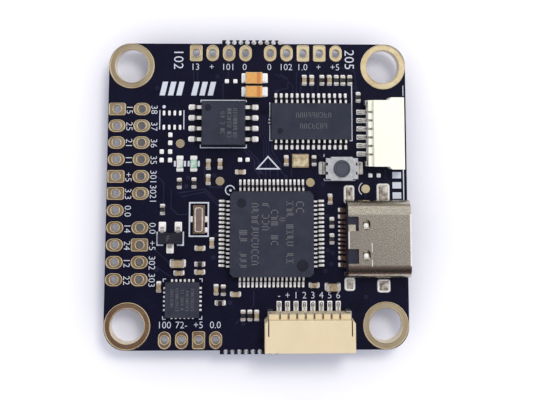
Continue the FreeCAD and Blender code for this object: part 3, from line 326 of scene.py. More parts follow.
def lead_look():
    """Tinned leads: a painted highlight on their level ends, and painted shade on their slopes where they
    mirror the dark chip.
    """
    look = Look("lead_tin", (230, 226, 218), 0.2, 0.55)
    level = look.grade(look.upward(), 0.0, 1.0, 0.9, 0.985)
    # Painted shade on the sloping faces, painted highlight on the level ones.
    look.colour(look.mix(level, (66, 62, 66), (250, 247, 241)))
    look.rough(look.grade(look.noise(0.1, 3), 0.14, 0.26))


def shell_look():
    """Drawn nickel-plated steel with fine rolling lines along the port, and bright specks painted as
    glints.
    """
    look = Look("nickel_shell", (176, 168, 156), 0.3, 1.0)
    lines = look.noise(0.12, 5, stretch=(0.08, 1.0, 1.0))
    mottle = look.noise(0.14, 4)
    # Painted highlight: random near-white specks stand in for glints on the plating.
    painted_glints = look.grade(look.noise(0.055, 2), 0.0, 1.0, 0.56, 0.7)
    plain = look.mix(look.grade(mottle, 0.0, 1.0, 0.35, 0.7), (198, 190, 176), (150, 141, 128))
    look.colour(look.mix(painted_glints, plain, (238, 232, 218)))
    look.rough(look.grade(mottle, 0.16, 0.34))
    look.bump(lines, 0.003, 0.5)
    look.bump(look.noise(0.06, 3), 0.003, 0.8)


def lens_look():
    """Clear resin over a white cup."""
    look = Look("lamp_lens", (236, 242, 230), 0.12, Transmission_Weight=0.35, IOR=1.5,
                Coat_Weight=0.4)
    glow = look.noise(0.5, 2)
    corner = look.grade(look.math("SUBTRACT", look.axis("X"), look.axis("Y")), 0.0, 1.0, -12.6, -12.2)
    tinted = look.math("MULTIPLY", look.grade(glow, 0.2, 1.0, 0.4, 0.6), corner)
    look.colour(look.mix(tinted, (252, 253, 248), (150, 224, 184)))
    look.rough(look.grade(look.noise(0.12, 3), 0.08, 0.22))
    look.bump(look.noise(0.2, 2), 0.006, 0.3)


def make_looks():
    mask_look("solder_mask", (15, 16, 34), (22, 22, 44))
    mask_look("mask_over_copper", (31, 31, 52), (42, 42, 66))
    metal_look("gold_plating", (238, 222, 184), (222, 202, 160), 0.15, 0.5, relief=0.0012, dull=0.08)
    metal_look("tin_plating", (226, 224, 220), (182, 178, 170), 0.24, 0.2, metallic=0.85)
    metal_look("solder", (255, 254, 252), (240, 237, 230), 0.22, 0.25, relief=0.01, dull=0.14,
               metallic=0.22)
    metal_look("end_cap", (246, 242, 234), (190, 180, 164), 0.16, 0.12, relief=0.008, dull=0.14,
               metallic=0.7)
    # Near-white solder mottled with dark brown patches, for the lands inside the leg frames.
    metal_look("brown_mottled_solder", (232, 226, 214), (92, 74, 64), 0.2, 0.1, relief=0.02, metallic=0.6)
    lead_look()
    metal_look("bronze", (150, 128, 116), (104, 88, 84), 0.25, 0.2)
    resin_look("chip_resin", (44, 47, 60), (66, 68, 80))
    resin_look("dark_resin", (30, 30, 42), (50, 50, 62))
    print_look("laser_mark", (98, 96, 101), (76, 77, 86))
    ceramic_look("tan_ceramic", (176, 156, 122), (126, 104, 78))
    ceramic_look("brown_ceramic", (132, 108, 82), (92, 74, 58))
    ceramic_look("white_ceramic", (232, 230, 224), (205, 202, 192))
    ceramic_look("dark_glaze", (24, 23, 28), (42, 41, 46), 0.25)
    tantalum_look()
    plastic_look("lamp_base", (236, 238, 232), (214, 218, 208))
    lens_look()
    metal_look("pressed_steel", (216, 217, 219), (186, 187, 192), 0.3, 0.1, relief=0.012, dull=0.2,
               metallic=0.6)
    shell_look()
    plastic_look("grey_plastic", (80, 84, 95), (66, 68, 80), 0.42, 0.0)
    plastic_look("black_plastic", (30, 31, 48), (44, 45, 62), 0.5, 0.0)
    plastic_look("beige_plastic", (228, 212, 176), (221, 203, 166), 0.5, 0.12)
    plastic_look("cream_plastic", (252, 251, 236), (247, 246, 226), 0.5, 0.12)
    metal_look("crystal_metal", (252, 238, 200), (184, 164, 124), 0.3, 0.14, relief=0.01, metallic=0.7)
    resin_look("ferrite", (72, 72, 74), (104, 104, 106), 0.6, 0.09)
    print_look("white_ink", (214, 219, 228), (176, 183, 198))
    print_look("glass_fibre", (206, 198, 172), (160, 146, 110))
    # Dark brown resin for the loops around the connector tails.
    resin_look("dark_loop_resin", (44, 36, 34), (84, 66, 54), 0.3)
    metal_look("polished_cover", (214, 196, 176), (188, 166, 146), 0.1, 0.3, relief=0.001, dull=0.06)


# ---- Mesh making ----
class Sculpt:
    """Collects many closed shapes, in millimetres, into the mesh of one piece."""

    def __init__(self):
        self.mesh = bmesh.new()

    def loft(self, rings):
        """A closed skin over rings of equal length, with a cap at both ends."""
        rows = [[self.mesh.verts.new(point) for point in ring] for ring in rings]
        count = len(rows[0])
        for lower, upper in zip(rows, rows[1:]):
            for index in range(count):
                following = (index + 1) % count
                self.mesh.faces.new((lower[index], lower[following], upper[following], upper[index]))
        self.mesh.faces.new(rows[0][::-1])
        self.mesh.faces.new(rows[-1])

    def mound(self, x, y, width, height, base, rise, corner=0.12, steps=3, sink=0.02):
        """A soft low cushion, as solder makes on a land."""
        rings = [rounded_ring(x, y, width, height, corner, base - sink)]
        for step in range(steps + 1):
            turn = math.pi / 2 * step / steps
            inset = (1 - math.cos(turn)) * min(width, height) * 0.32
            level = base + rise * math.sin(turn)
            rings.append(rounded_ring(x, y, width - 2 * inset, height - 2 * inset,
                                      max(corner - inset, corner * 0.3), level))
        self.loft(rings)

    def slab(self, outline, low, high):
        """An upright prism over a flat outline of (x, y) points."""
        self.loft([[(x, y, low) for x, y in outline], [(x, y, high) for x, y in outline]])

    def ribbon(self, path, width, low, high, closed=False):
        """A flat line with mitred bends along a path of (x, y) points."""
        left, right = [], []
        for point, side, spread in mitres(path, closed, 0.3):
            reach = width / 2 / spread
            left.append(point + side * reach)
            right.append(point - side * reach)
        if closed:
            for index in range(len(left)):
                following = (index + 1) % len(left)
                self.slab([right[index], right[following], left[following], left[index]], low, high)
        else:
            self.slab(right + left[::-1], low, high)

    def bead(self, path, width, base, rise):
        """A half-round rib along a closed path of (x, y) points."""
        profile = [(-0.5, -0.1), (-0.36, 0.62), (-0.12, 0.97), (0.12, 0.97), (0.36, 0.62), (0.5, -0.1)]
        rows = []
        for point, side, spread in mitres(path, True, 0.4):
            reach = width / spread
            row = []
            for across, lift in profile:
                spot = point + side * reach * across
                row.append(self.mesh.verts.new((spot.x, spot.y, base + rise * lift)))
            rows.append(row)
        for index, here in enumerate(rows):
            there = rows[(index + 1) % len(rows)]
            for step in range(len(profile)):
                following = (step + 1) % len(profile)
                self.mesh.faces.new((here[step], there[step], there[following], here[following]))

    def lettering(self, text, x, y, height, low, high, turn=0.0):
        """Plain digits and signs, a little thinned, centred on a place."""
        digit_share, thinning = 0.72, 0.012
        curve = bpy.data.curves.new("label", "FONT")
        curve.body = text
        curve.size = height / digit_share
        curve.align_x = "CENTER"
        curve.align_y = "CENTER"
        curve.extrude = (high - low) / 2
        curve.offset = -thinning
        curve.resolution_u = 3
        holder = bpy.data.objects.new("label", curve)
        bpy.context.scene.collection.objects.link(holder)
        bpy.context.view_layer.update()
        graph = bpy.context.evaluated_depsgraph_get()
        drawn = bpy.data.meshes.new_from_object(holder.evaluated_get(graph))
        place = Matrix.Translation((x, y, (low + high) / 2)) @ Matrix.Rotation(math.radians(turn), 4, "Z")
        drawn.transform(place)
        self.mesh.from_mesh(drawn)
        bpy.data.objects.remove(holder)
        bpy.data.curves.remove(curve)
        bpy.data.meshes.remove(drawn)

    def piece(self, name, look, slot=None):
        """Finish the mesh as an object that rides on the board."""
        bmesh.ops.recalc_face_normals(self.mesh, faces=self.mesh.faces)
        bmesh.ops.scale(self.mesh, vec=(1 / METRE,) * 3, verts=self.mesh.verts)
        data = bpy.data.meshes.new(name)
        self.mesh.to_mesh(data)
        self.mesh.free()
        for face in data.polygons:
            face.use_smooth = True
        data.set_sharp_from_angle(angle=math.radians(35))
        made = bpy.data.objects.new(name, data)
        bpy.context.scene.collection.objects.link(made)
        data.materials.append(looks[look])
        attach(made, "board")


def rounded_ring(x, y, width, height, corner, level, steps=3):
    """Points around a rectangle with round corners."""
    corner = min(corner, width / 2 - 0.001, height / 2 - 0.001)
    points = []
    for index, (across, along) in enumerate(((1, 1), (-1, 1), (-1, -1), (1, -1))):
        for step in range(steps + 1):
            turn = math.pi / 2 * (index + step / steps)
            points.append((x + across * (width / 2 - corner) + corner * math.cos(turn),
                           y + along * (height / 2 - corner) + corner * math.sin(turn), level))
    return points


def rounded_path(x, y, width, height, corner, steps=3):
    """The same outline as a flat path of (x, y) points."""
    return [point[:2] for point in rounded_ring(x, y, width, height, corner, 0, steps)]


def rectangle(low_x, low_y, high_x, high_y):
    return [(low_x, low_y), (high_x, low_y), (high_x, high_y), (low_x, high_y)]


def circle(x, y, radius, sides):
    return [(x + radius * math.cos(2 * math.pi * k / sides), y + radius * math.sin(2 * math.pi * k / sides))
            for k in range(sides)]


def mitres(path, closed, least):
    """For every point of a path: the point, the sideways direction there, and the cosine of half
    the bend, which is kept above a least value so that sharp bends don't run out."""
    points = [Vector(point) for point in path]
    last = len(points) - 1
    found = []
    for index, point in enumerate(points):
        way_in = (point - points[index - 1]).normalized() if closed or index else None
        following = points[(index + 1) % len(points)]
        way_out = (following - point).normalized() if closed or index < last else way_in
        way = ((way_in or way_out) + way_out).normalized()
        side = Vector((-way.y, way.x))
        found.append((point, side, max(least, side.dot(Vector((-way_out.y, way_out.x))))))
    return found


def main_way(offset):
    """The direction along X or Y in which an offset is longer."""
    if abs(offset.x) > abs(offset.y):
        return Vector((math.copysign(1, offset.x), 0, 0))
    return Vector((0, math.copysign(1, offset.y), 0))


def arc(x, y, radius, start, end, steps=16):
    turns = [math.radians(start + (end - start) * k / steps) for k in range(steps + 1)]
    return [(x + radius * math.cos(turn), y + radius * math.sin(turn)) for turn in turns]


# Moulded and drawn pieces, with the width of their softened edges.
SOFT_EDGES = {
    "processor_body": 0.06, "overlay_chip_body": 0.05, "memory_chip_body": 0.06,
    "motion_sensor_body": 0.03, "transistor_body": 0.06, "tantalum_capacitor_bodies": 0.09,
    "power_regulator_body": 0.05, "logic_regulator_body": 0.05, "button_base": 0.04,
    "button_cover": 0.03, "usb_contact_holder": 0.04, "resonator_base": 0.03, "crystal_base": 0.03,
}


def dress_cad_nodes():
    """Give every CAD node its look, and soften the hard edges of the moulded ones."""
    slots = {row["node"]: row["material_slot"] for row in frame["record"]["subparts"]}
    slot_looks = {"board_laminate": "solder_mask", "tinned_lead": "tin_plating"}
    special = {"transistor_body": "dark_resin", "resonator_cover": "polished_cover",
               "crystal_base": "tan_ceramic", "small_capacitor_terminals": "end_cap",
               "resistor_terminals": "end_cap", "medium_capacitor_terminals": "end_cap",
               "tantalum_capacitor_terminals": "solder", "status_lamp_terminals": "solder",
               "usb_contacts": "bronze", "resonator_base": "brown_ceramic",
               "processor_leads": "lead_tin", "overlay_chip_leads": "lead_tin",
               "memory_chip_leads": "lead_tin"}
    for name, thing in nodes.items():
        thing.data.materials.clear()
        usual = slot_looks.get(slots[name], slots[name])
        thing.data.materials.append(looks[special.get(name, usual)])
    for name, width in SOFT_EDGES.items():
        bevel = nodes[name].modifiers.new("soft_edges", "BEVEL")
        bevel.width = width / METRE
        bevel.segments = 3
        bevel.limit_method = "ANGLE"
        bevel.angle_limit = math.radians(40)


# ---- Solder and lands ----
def lead_feet(leads, body):
    """For every lead: its box and the direction it leaves the package."""
    package = node_box(body)
    feet = []
    for lead in solids(leads):
        offset = lead.middle - package.middle
        across = abs(offset.x) - package.size.x / 2
        along = abs(offset.y) - package.size.y / 2
        outward = (offset.x, 0, 0) if across > along else (0, offset.y, 0)
        feet.append((lead, main_way(Vector(outward))))
    return feet


def solder_lead(sculpt, lead, way, level, up, toe, heel_share, wide, rise):
    """A land under a lead's foot, with solder drawn up around it."""
    length = abs(lead.size.dot(way))
    side = Vector((abs(way.y), abs(way.x), 0))
    width = lead.size.dot(side) + wide
    start = length * heel_share
    tip = lead.middle + way * (length / 2)
    middle = tip + way * (toe - start) / 2
    size_x = abs(way.x) * (start + toe) + side.x * width
    size_y = abs(way.y) * (start + toe) + side.y * width
    lift = rise * rng.uniform(0.85, 1.15)
    sculpt.mound(middle.x, middle.y, size_x, size_y, level, up * lift, min(size_x, size_y) * 0.3,
                 sink=up * 0.02)


def solder_terminal(sculpt, terminal, others_middle, level, up, reach, wide, rise):
    """A land and a fillet at one metal end of a chip part."""
    solder_lead(sculpt, terminal, main_way(terminal.middle - others_middle), level, up, reach, 1.05,
                wide, rise)


def nearest_middle(box, bodies):
    return min(bodies, key=lambda body: (body.middle - box.middle).length).middle


# Leads and package, then the land's reach past the toe, its start as a share of the lead's
# length back from the toe, and how much wider than the lead it is.
CHIPS_ON_TOP = [("processor_leads", "processor_body", 0.30, 0.40, 0.07),
                ("overlay_chip_leads", "overlay_chip_body", 0.18, 0.40, 0.12),
                ("memory_chip_leads", "memory_chip_body", 0.28, 0.42, 0.24)]
CHIP_PARTS = [("small_capacitor_terminals", "small_capacitor_bodies"),
              ("resistor_terminals", "resistor_bodies"),
              ("medium_capacitor_terminals", "medium_capacitor_bodies"),
              ("tantalum_capacitor_terminals", "tantalum_capacitor_bodies"),
              ("status_lamp_terminals", "status_lamp_bases")]


def make_plug_lands(sculpt):
    """Long lands behind the wire connectors, one under each contact's tail."""
    toe, width, tail = 0.28, 0.58, 0.6
    rear = node_box("esc_connector_housing").high.y
    for contact in solids("esc_connector_contacts"):
        x, end = contact.middle.x, contact.high.y + toe
        sculpt.mound(x, (rear + end) / 2, width, end - rear, TOP, 0.05, 0.05)
        sculpt.mound(x, contact.high.y - tail / 2, tail / 2, tail, TOP, 0.13, 0.1)
    rear = node_box("video_connector_housing").low.x
    for contact in solids("video_connector_contacts"):
        y, end = contact.middle.y, contact.low.x - toe
        sculpt.mound((rear + end) / 2, y, rear - end, width, TOP, 0.05, 0.05)
        sculpt.mound(contact.low.x + tail / 2, y, tail, tail / 2, TOP, 0.13, 0.1)


def make_wide_lands(sculpt):
    """Lands that reach well beyond the straps and leads that stand on them."""
    for body in solids("tantalum_capacitor_bodies"):
        for side, reach in ((-1, 0.38), (1, 0.56)):
            edge = body.middle.x + side * body.size.x / 2
            sculpt.mound(edge + side * reach / 2, body.middle.y, reach + 0.2, 1.2, TOP, 0.1, 0.12)
    for lead in solids("transistor_leads"):
        way = math.copysign(1, lead.middle.y - node_box("transistor_body").middle.y)
        middle = lead.middle.y + way * 0.3
        sculpt.mound(lead.middle.x, middle, 0.85, 1.15, TOP, 0.05, 0.1)
        sculpt.mound(lead.middle.x, middle + way * 0.1, 0.6, 0.6, TOP, 0.13, 0.15)
    tails = [tail for tail in solids("usb_contacts") if tail.low.z < TOP + 0.05]
    for tail in tails:
        sculpt.mound(tail.low.x - 0.02, tail.middle.y, 0.3, tail.size.y * 0.95, TOP, 0.2, 0.12)


def make_top_solder():
    sculpt = Sculpt()
    for leads, body, toe, heel, wide in CHIPS_ON_TOP:
        for lead, way in lead_feet(leads, body):
            solder_lead(sculpt, lead, way, TOP, 1, toe, heel, wide, 0.09)
    make_plug_lands(sculpt)
    make_wide_lands(sculpt)
    for terminals, bodies in CHIP_PARTS:
        middles = solids(bodies)
        for terminal in solids(terminals):
            solder_terminal(sculpt, terminal, nearest_middle(terminal, middles), TOP, 1, 0.16, 0.06, 0.16)
    sensor = node_box("motion_sensor_body")
    for terminal in solids("motion_sensor_terminals"):
        way = main_way(terminal.middle - sensor.middle)
        solder_lead(sculpt, terminal, way, TOP, 1, 0.28, 0.3, 0.03, 0.12)
    for foot in solids("button_terminals"):
        sculpt.mound(foot.middle.x, foot.middle.y, foot.size.x * 1.05, foot.size.y * 1.06, TOP, 0.08, 0.2)
    sculpt.piece("top_solder", "solder", slot="tinned_lead")


def make_under_solder():
    sculpt = Sculpt()
    for name in ("power_regulator", "logic_regulator"):
        for lead, way in lead_feet(name + "_leads", name + "_body"):
            solder_lead(sculpt, lead, way, UNDER, -1, 0.25, 0.6, 0.12, 0.09)
    middles = solids("power_capacitor_bodies")
    for terminal in solids("power_capacitor_terminals"):
        solder_terminal(sculpt, terminal, nearest_middle(terminal, middles), UNDER, -1, 0.25, 0.1, 0.22)
    coil = node_box("power_coil_core")
    for terminal in solids("power_coil_terminals"):
        solder_terminal(sculpt, terminal, coil.middle, UNDER, -1, 0.35, 0.2, 0.14)
    sculpt.piece("under_solder", "solder", slot="tinned_lead")


# Middle and size of each tinned land that holds no part, then of each leg's frame.
BARE_LANDS = [(-11.3 + 0.65 * k, y, 0.3, 0.6) for y in (9.6, 7.9) for k in range(4)]
BARE_LANDS += [(x, 13.45, 0.5, 0.5) for x in (-3.75, -2.72)]
BARE_LANDS += [(x, y, 0.5, 0.55) for x, y in ((-10.5, 7.0), (-10.5, 6.05), (-11.5, 5.0), (-11.5, 4.0),
                                              (-10.5, 5.0), (-10.5, 4.0))]
BARE_LANDS += [(x, y, 0.5, 0.5) for x, y in ((-2.1, 4.05), (-1.2, 4.05), (13.6, 2.2), (14.6, 2.2))]
BARE_LANDS += [(x, -2.95, 0.45, 0.7) for x in (-7.75, -6.15)] + [(-6.15, -4.2, 0.45, 0.6)]
LEG_FRAMES = [(11.0, -0.05, 1.3, 2.2), (15.1, 0.15, 1.6, 2.2), (11.0, -10.5, 1.3, 1.6),
              (15.05, -10.7, 1.6, 1.6)]


def make_bare_lands():
    sculpt = Sculpt()
    for x, y, width, height in BARE_LANDS:
        sculpt.mound(x, y, width, height, TOP, 0.05, 0.1)
    sculpt.piece("bare_lands", "solder", slot="tinned_lead")


def make_leg_solder():
    """Solder drawn up in a frame around each leg of the port's shell, over a land mottled dark brown."""
    frames, middles = Sculpt(), Sculpt()
    rim = 0.3
    for x, y, width, height in LEG_FRAMES:
        middles.mound(x, y, width - rim, height - rim, TOP, 0.12, 0.15)
        frames.bead(rounded_path(x, y, width - rim, height - rim, 0.2), rim, TOP, 0.16)
    middles.piece("leg_lands", "brown_mottled_solder", slot="tinned_lead")
    frames.piece("leg_solder", "solder", slot="tinned_lead")


def make_dark_tail_loops():
    """A dark loop drawn around the end of every connector tail."""
    sculpt = Sculpt()
    reach, radius, width = 0.36, 0.15, 0.06
    low, high = TOP + 0.03, TOP + 0.105
    for contact in solids("esc_connector_contacts"):
        x, y = contact.middle.x, contact.high.y
        loop = [(x - radius, y - reach), *arc(x, y, radius, 180, 0, 8), (x + radius, y - reach)]
        sculpt.ribbon(loop, width, low, high)
    for contact in solids("video_connector_contacts"):
        x, y = contact.low.x, contact.middle.y
        loop = [(x + reach, y - radius), *arc(x, y, radius, 270, 90, 8), (x + reach, y + radius)]
        sculpt.ribbon(loop, width, low, high)
    # A dark outline around each tail end, in a dark brown resin look.
    sculpt.piece("dark_tail_loops", "dark_loop_resin", slot="tinned_lead")


# ---- Details of the USB port's shell ----
def across_bar(low_x, high_x, y, low, high):
    """A flat bar's section, one ring of a loft that runs along Y."""
    return [(low_x, y, low), (high_x, y, low), (high_x, y, high), (low_x, y, high)]


def make_port_springs():
    """In each oval hole, a spring finger that dips into the port, with a painted highlight on its lower
    end; a flap in the rear notch.
    """
    sculpt, highlight_tips = Sculpt(), Sculpt()
    shell = node_box("usb_shell")
    top, rear = shell.high.z, node_box("usb_contact_holder").low.x
    hole_x, hole_reach, half, sheet = rear + 2.12, 1.72, 0.5, 0.08
    for side in (1, -1):
        y = shell.middle.y + side * hole_reach
        rings = []
        for step in range(9):
            share = step / 8
            along = y - half + 2 * half * share
            dip = 0.06 + 0.5 * math.sin(share * math.pi / 2) ** 1.4
            wide = 0.34 - 0.06 * share
            rings.append(across_bar(hole_x - wide, hole_x + wide, along, top - dip - sheet, top - dip))
        sculpt.loft(rings)
        # Painted highlight: a near-white solder mound on the lower end of each finger.
        highlight_tips.mound(hole_x - 0.06, y - 0.14, 0.62, 0.72, top - 0.3, 0.16, 0.28)
    y = shell.middle.y + 1.85
    flap = []
    for step in range(7):
        share = step / 6
        level = top - 0.05 - 0.42 * share ** 1.3
        flap.append(across_bar(rear + 0.02, rear + 0.86, y - 0.83 + 1.05 * share, level - sheet, level))
    sculpt.loft(flap)
    highlight_tips.piece("port_spring_glints", "solder", slot="nickel_shell")
    sculpt.piece("port_springs", "nickel_shell", slot="nickel_shell")


def make_cover_rim():
    """The rounded bend around the resonator's drawn cover, in a paler metal look than the cover as a
    painted highlight.
    """
    sculpt = Sculpt()
    cover = node_box("resonator_cover")
    path = rounded_path(cover.middle.x, cover.middle.y, cover.size.x - 0.2, cover.size.y - 0.2, 0.25)
    sculpt.bead(path, 0.17, cover.high.z, 0.045)
    # Painted highlight: the bend takes the near-white end-cap look, not the cover's own.
    sculpt.piece("cover_rim", "end_cap", slot="pressed_steel")


def make_port_seam():
    """The raised edge where the shell's sheet is locked, its rear lip and its mouth, drawn in the
    near-white solder look as painted highlights.
    """
    sculpt = Sculpt()
    shell = node_box("usb_shell")
    top, rear = shell.high.z, node_box("usb_contact_holder").low.x
    x, y = rear + 2.72, shell.middle.y
    for start, end in ((-0.3, -1.35), (-2.2, -3.0)):
        path = [(x, y + start), (x + 0.03, y + (start + end) / 2), (x + 0.02, y + end)]
        sculpt.ribbon(path, 0.07, top - 0.02, top + 0.02)
    sculpt.ribbon([(rear + 0.05, y + 0.98), (rear + 0.05, y - 0.98)], 0.1, top - 0.05, top + 0.015)
    lip, reach = shell.high.x - 0.06, 2.95
    sculpt.ribbon([(lip, y + reach), (lip, y - reach)], 0.16, top - 0.05, top + 0.03)
    # Painted highlight: these strips on the nickel shell take the near-white solder look.
    sculpt.piece("port_seam", "solder", slot="nickel_shell")


PAD_ROWS = ("left_outer_wire_pads", "left_inner_wire_pads", "top_wire_pads", "bottom_wire_pads")


def is_square(pad, corners):
    """Whether the pad's metal comes close to a corner of its box; the others are stadiums."""
    return any(pad.high.x - 0.3 < x < pad.high.x + 0.01 and abs(y - pad.high.y) < 0.05 for x, y in corners)


def make_pad_rims():
    """The plating's rounded outer edges, and the rounded mouths of the plated holes."""
    sculpt = Sculpt()
    rim, rise, pad_mouth, ring_mouth = 0.13, 0.03, 0.47, 2.0
    for name in PAD_ROWS:
        corners = [(v.co.x * METRE, v.co.y * METRE) for v in nodes[name].data.vertices]
        for pad in solids(name):
            x, y = pad.middle.x, pad.middle.y
            width, height = pad.size.x - 0.7 * rim, pad.size.y - 0.7 * rim
            corner = 0.2 if is_square(pad, corners) else min(width, height) / 2
            for level, up in ((pad.high.z, 1), (pad.low.z, -1)):
                sculpt.bead(rounded_path(x, y, width, height, corner, 6), rim, level, up * rise)
                sculpt.bead(circle(x, y, pad_mouth + rim * 0.45, 24), rim, level, up * rise)
    for ring in solids("mounting_hole_plating"):
        x, y = ring.middle.x, ring.middle.y
        for level, up in ((ring.high.z, 1), (ring.low.z, -1)):
            sculpt.bead(circle(x, y, ring.size.x / 2 - 0.06, 72), rim, level, up * rise)
            sculpt.bead(circle(x, y, ring_mouth + 0.05, 72), 0.12, level, up * rise)
    sculpt.piece("plating_rims", "gold_plating", slot="gold_plating")


# ---- Printed marks ----
class Print(Sculpt):
    """Ink on the mask: every shape lies in the same thin layer."""
    low, high = TOP - 0.004, TOP + 0.018

    def line(self, path, width=0.11, closed=False):
        self.ribbon(path, width, self.low, self.high, closed)

    def block(self, outline):
        self.slab(outline, self.low, self.high)

    def dot(self, x, y, radius, sides=12):
        self.block(circle(x, y, radius, sides))

    def label(self, text, x, y, height=0.8, turn=0.0):
        self.lettering(text, x, y, height, self.low, self.high, turn)


LABELS = {
    "left_outer_wire_pads": ("15", "25", "21", "11", "+5", "3.3", "0.0", "14", "24", "12", "22"),
    "left_inner_wire_pads": ("38", "37", "36", "35", "301", "3021", "0.0", "+5", "302", "303"),
    "top_wire_pads": ("13", "+", "101", "0", "0", "102", "1.0", "+", "+5"),
    "bottom_wire_pads": ("100", "72-", "+5", "0.0"),
    "esc_connector_contacts": ("-", "+", "1", "2", "3", "4", "5", "6"),
}


def print_labels(ink):
    for name in ("left_outer_wire_pads", "left_inner_wire_pads"):
        for pad, label in zip(sorted(solids(name), key=lambda b: -b.middle.y), LABELS[name]):
            ink.label(label, pad.high.x + 0.45, pad.middle.y - 0.05, turn=-90)
    for name, shift, y in (("top_wire_pads", -0.1, 15.15), ("bottom_wire_pads", -0.05, -15.15),
                           ("esc_connector_contacts", 0.0, -11.8)):
        for pad, label in zip(solids(name), LABELS[name]):
            ink.label(label, pad.middle.x + shift, y)
    for x, label in ((-9.68, "102"), (11.1, "205")):
        ink.label(label, x, 16.1, height=1.2, turn=-90)


def print_bars(ink):
    """Plain bars: a slanted group at the top left and an upright group at the right edge."""
    slant, tall, half, low = 0.38, 1.65, 0.32, 11.72
    for group in (-11.55, -7.75):
        for bar in range(3):
            x = group + bar * 1.0
            ink.block([(x - half, low), (x + half, low), (x + half + slant, low + tall),
                       (x - half + slant, low + tall)])
    for bar in range(3):
        y = -0.55 + bar * 1.2
        ink.block(rectangle(16.25, y, 17.3, y + 0.75))
    ink.line([(17.6, 3.0), (17.6, -0.8)], 0.12)


def print_outlines(ink):
    """Outlines and corner marks around the parts."""
    thick = 0.16
    ink.line([(-0.05, 2.98), (2.6, 2.98), (1.26, 4.42)], thick, closed=True)
    ink.line(rectangle(-8.08, -4.92, -5.85, -1.02), thick, closed=True)
    memory = node_box("memory_chip_body")
    for beyond, near, far in ((0.12, 5.85, 5.47), (0.1, 10.9, 11.15)):
        left, right = memory.low.x - beyond, memory.high.x + beyond
        ink.line([(left, near), (left, far), (right, far), (right, near)])
    overlay = node_box("overlay_chip_body")
    left, right, low = overlay.low.x - 0.1, overlay.high.x + 0.16, overlay.low.y - 0.1
    ink.line([(left, 10.9), (left, 9.1)])
    ink.line([(left, 8.2), (left, low), (left + 0.35, low)])
    ink.line([(right, 13.1), (right, low), (right - 0.35, low)])
    for y in (8.85, 8.45):
        ink.dot(left - 0.05, y, 0.12)
    for x in (-11.8, -8.9):
        ink.line([(x, 9.95), (x, 7.65)])
    ink.dot(-11.3, 10.35, 0.2)
    for side in (-1, 1):
        x = -10.34 + side * 1.55
        ink.line([(x, -4.4), (x, -5.95), (x - side * 0.75, -5.95)], thick)
    button = node_box("button_base")
    left, right, low = button.low.x - 0.18, button.high.x - 0.2, button.low.y - 0.24
    ink.line([(left, low + 0.22), (left + 0.06, low), (right, low), (right + 0.06, low + 0.12)], 0.1)
    ink.line([(left, button.high.y + 0.12), (left + 0.03, button.high.y + 0.42)], 0.1)
    ink.line(arc(-3.28, 0.45, 0.55, 10, 300), 0.13)
    ink.line(arc(13.0, 0.6, 0.8, 120, 235), 0.1)
    ink.dot(-3.22, 0.42, 0.15, 14)
    sensor = node_box("motion_sensor_body")
    for across in (-1, 1):
        for along in (-1, 1):
            x = sensor.middle.x + across * 2.3
            y = sensor.middle.y + along * 2.3
            ink.line([(x - across * 0.35, y), (x, y), (x, y - along * 0.35)], 0.09)
    for lamp in solids("status_lamp_bases"):
        for side in (-1, 1):
            near, far = lamp.middle.x + side * 0.47, lamp.middle.x + side * 0.72
            ink.block(rectangle(near, 3.25, far, 3.9)[::side])
    ink.line([(17.7, 13.0), (17.7, 11.75)], 0.09)


def make_print():
    ink = Print()
    print_labels(ink)
    print_bars(ink)
    print_outlines(ink)
    ink.piece("printed_marks", "white_ink")


def print_glyph(sculpt, x, y, width, height, low, high):
    """One illegible block of a chip's marking: a few random strokes in a cell."""
    stroke = min(width, height) * 0.24
    shapes = ["left", "right", "low", "high", "middle"]
    for shape in rng.sample(shapes, 3):
        if shape in ("left", "right"):
            size = (stroke / 2, height / 2)
            spot = (x + (width - stroke) / 2 * (1 if shape == "right" else -1), y)
        else:
            lift = {"low": -1, "high": 1, "middle": 0}[shape]
            size = (width / 2, stroke / 2)
            spot = (x, y + (height - stroke) / 2 * lift)
        outline = rectangle(spot[0] - size[0], spot[1] - size[1], spot[0] + size[0], spot[1] + size[1])
        sculpt.slab(outline, low, high)


# For every chip: the axis its rows run along, then each row's place across, its start and
# end along, and the size of its strokes, from the body's middle.
CHIP_MARKS = [
    ("processor_body", "Y", [(3.3, 3.9, 1.7, 0.95), (2.1, 3.9, -3.9, 0.85), (1.2, 2.0, 1.2, 0.7),
                             (0.3, 3.6, 0.6, 0.85), (0.3, 0.0, -1.8, 0.85), (-0.75, 3.7, -0.2, 0.85),
                             (-2.0, 3.7, -4.0, 0.85), (-3.4, 0.6, -1.0, 0.95), (-3.4, -2.0, -4.1, 0.8)]),
    ("memory_chip_body", "Y", [(1.4, 1.8, -2.0, 0.5), (0.7, 1.8, -2.0, 0.5), (-0.1, 1.4, -1.6, 0.5)]),
    ("overlay_chip_body", "X", [(0.75, -1.9, 2.5, 0.62), (-0.55, -1.9, 2.6, 0.62)]),
    ("motion_sensor_body", "Y", [(1.2, 1.4, -1.3, 0.34), (0.6, 1.4, -1.5, 0.34), (0.0, 1.5, -1.3, 0.34),
                                 (-0.6, 1.4, -1.4, 0.34), (-1.2, 1.3, -1.0, 0.34)]),
    ("transistor_body", "X", [(0.0, -0.9, 0.9, 0.6)]),
]


# Round marks left by the mould: node, x and y from the body's middle, radius.
MOULD_MARKS = [("processor_body", -3.6, 3.6, 0.55), ("processor_body", 3.6, -3.6, 0.7),
               ("overlay_chip_body", -3.75, -1.15, 0.36), ("memory_chip_body", -1.85, 1.85, 0.4)]


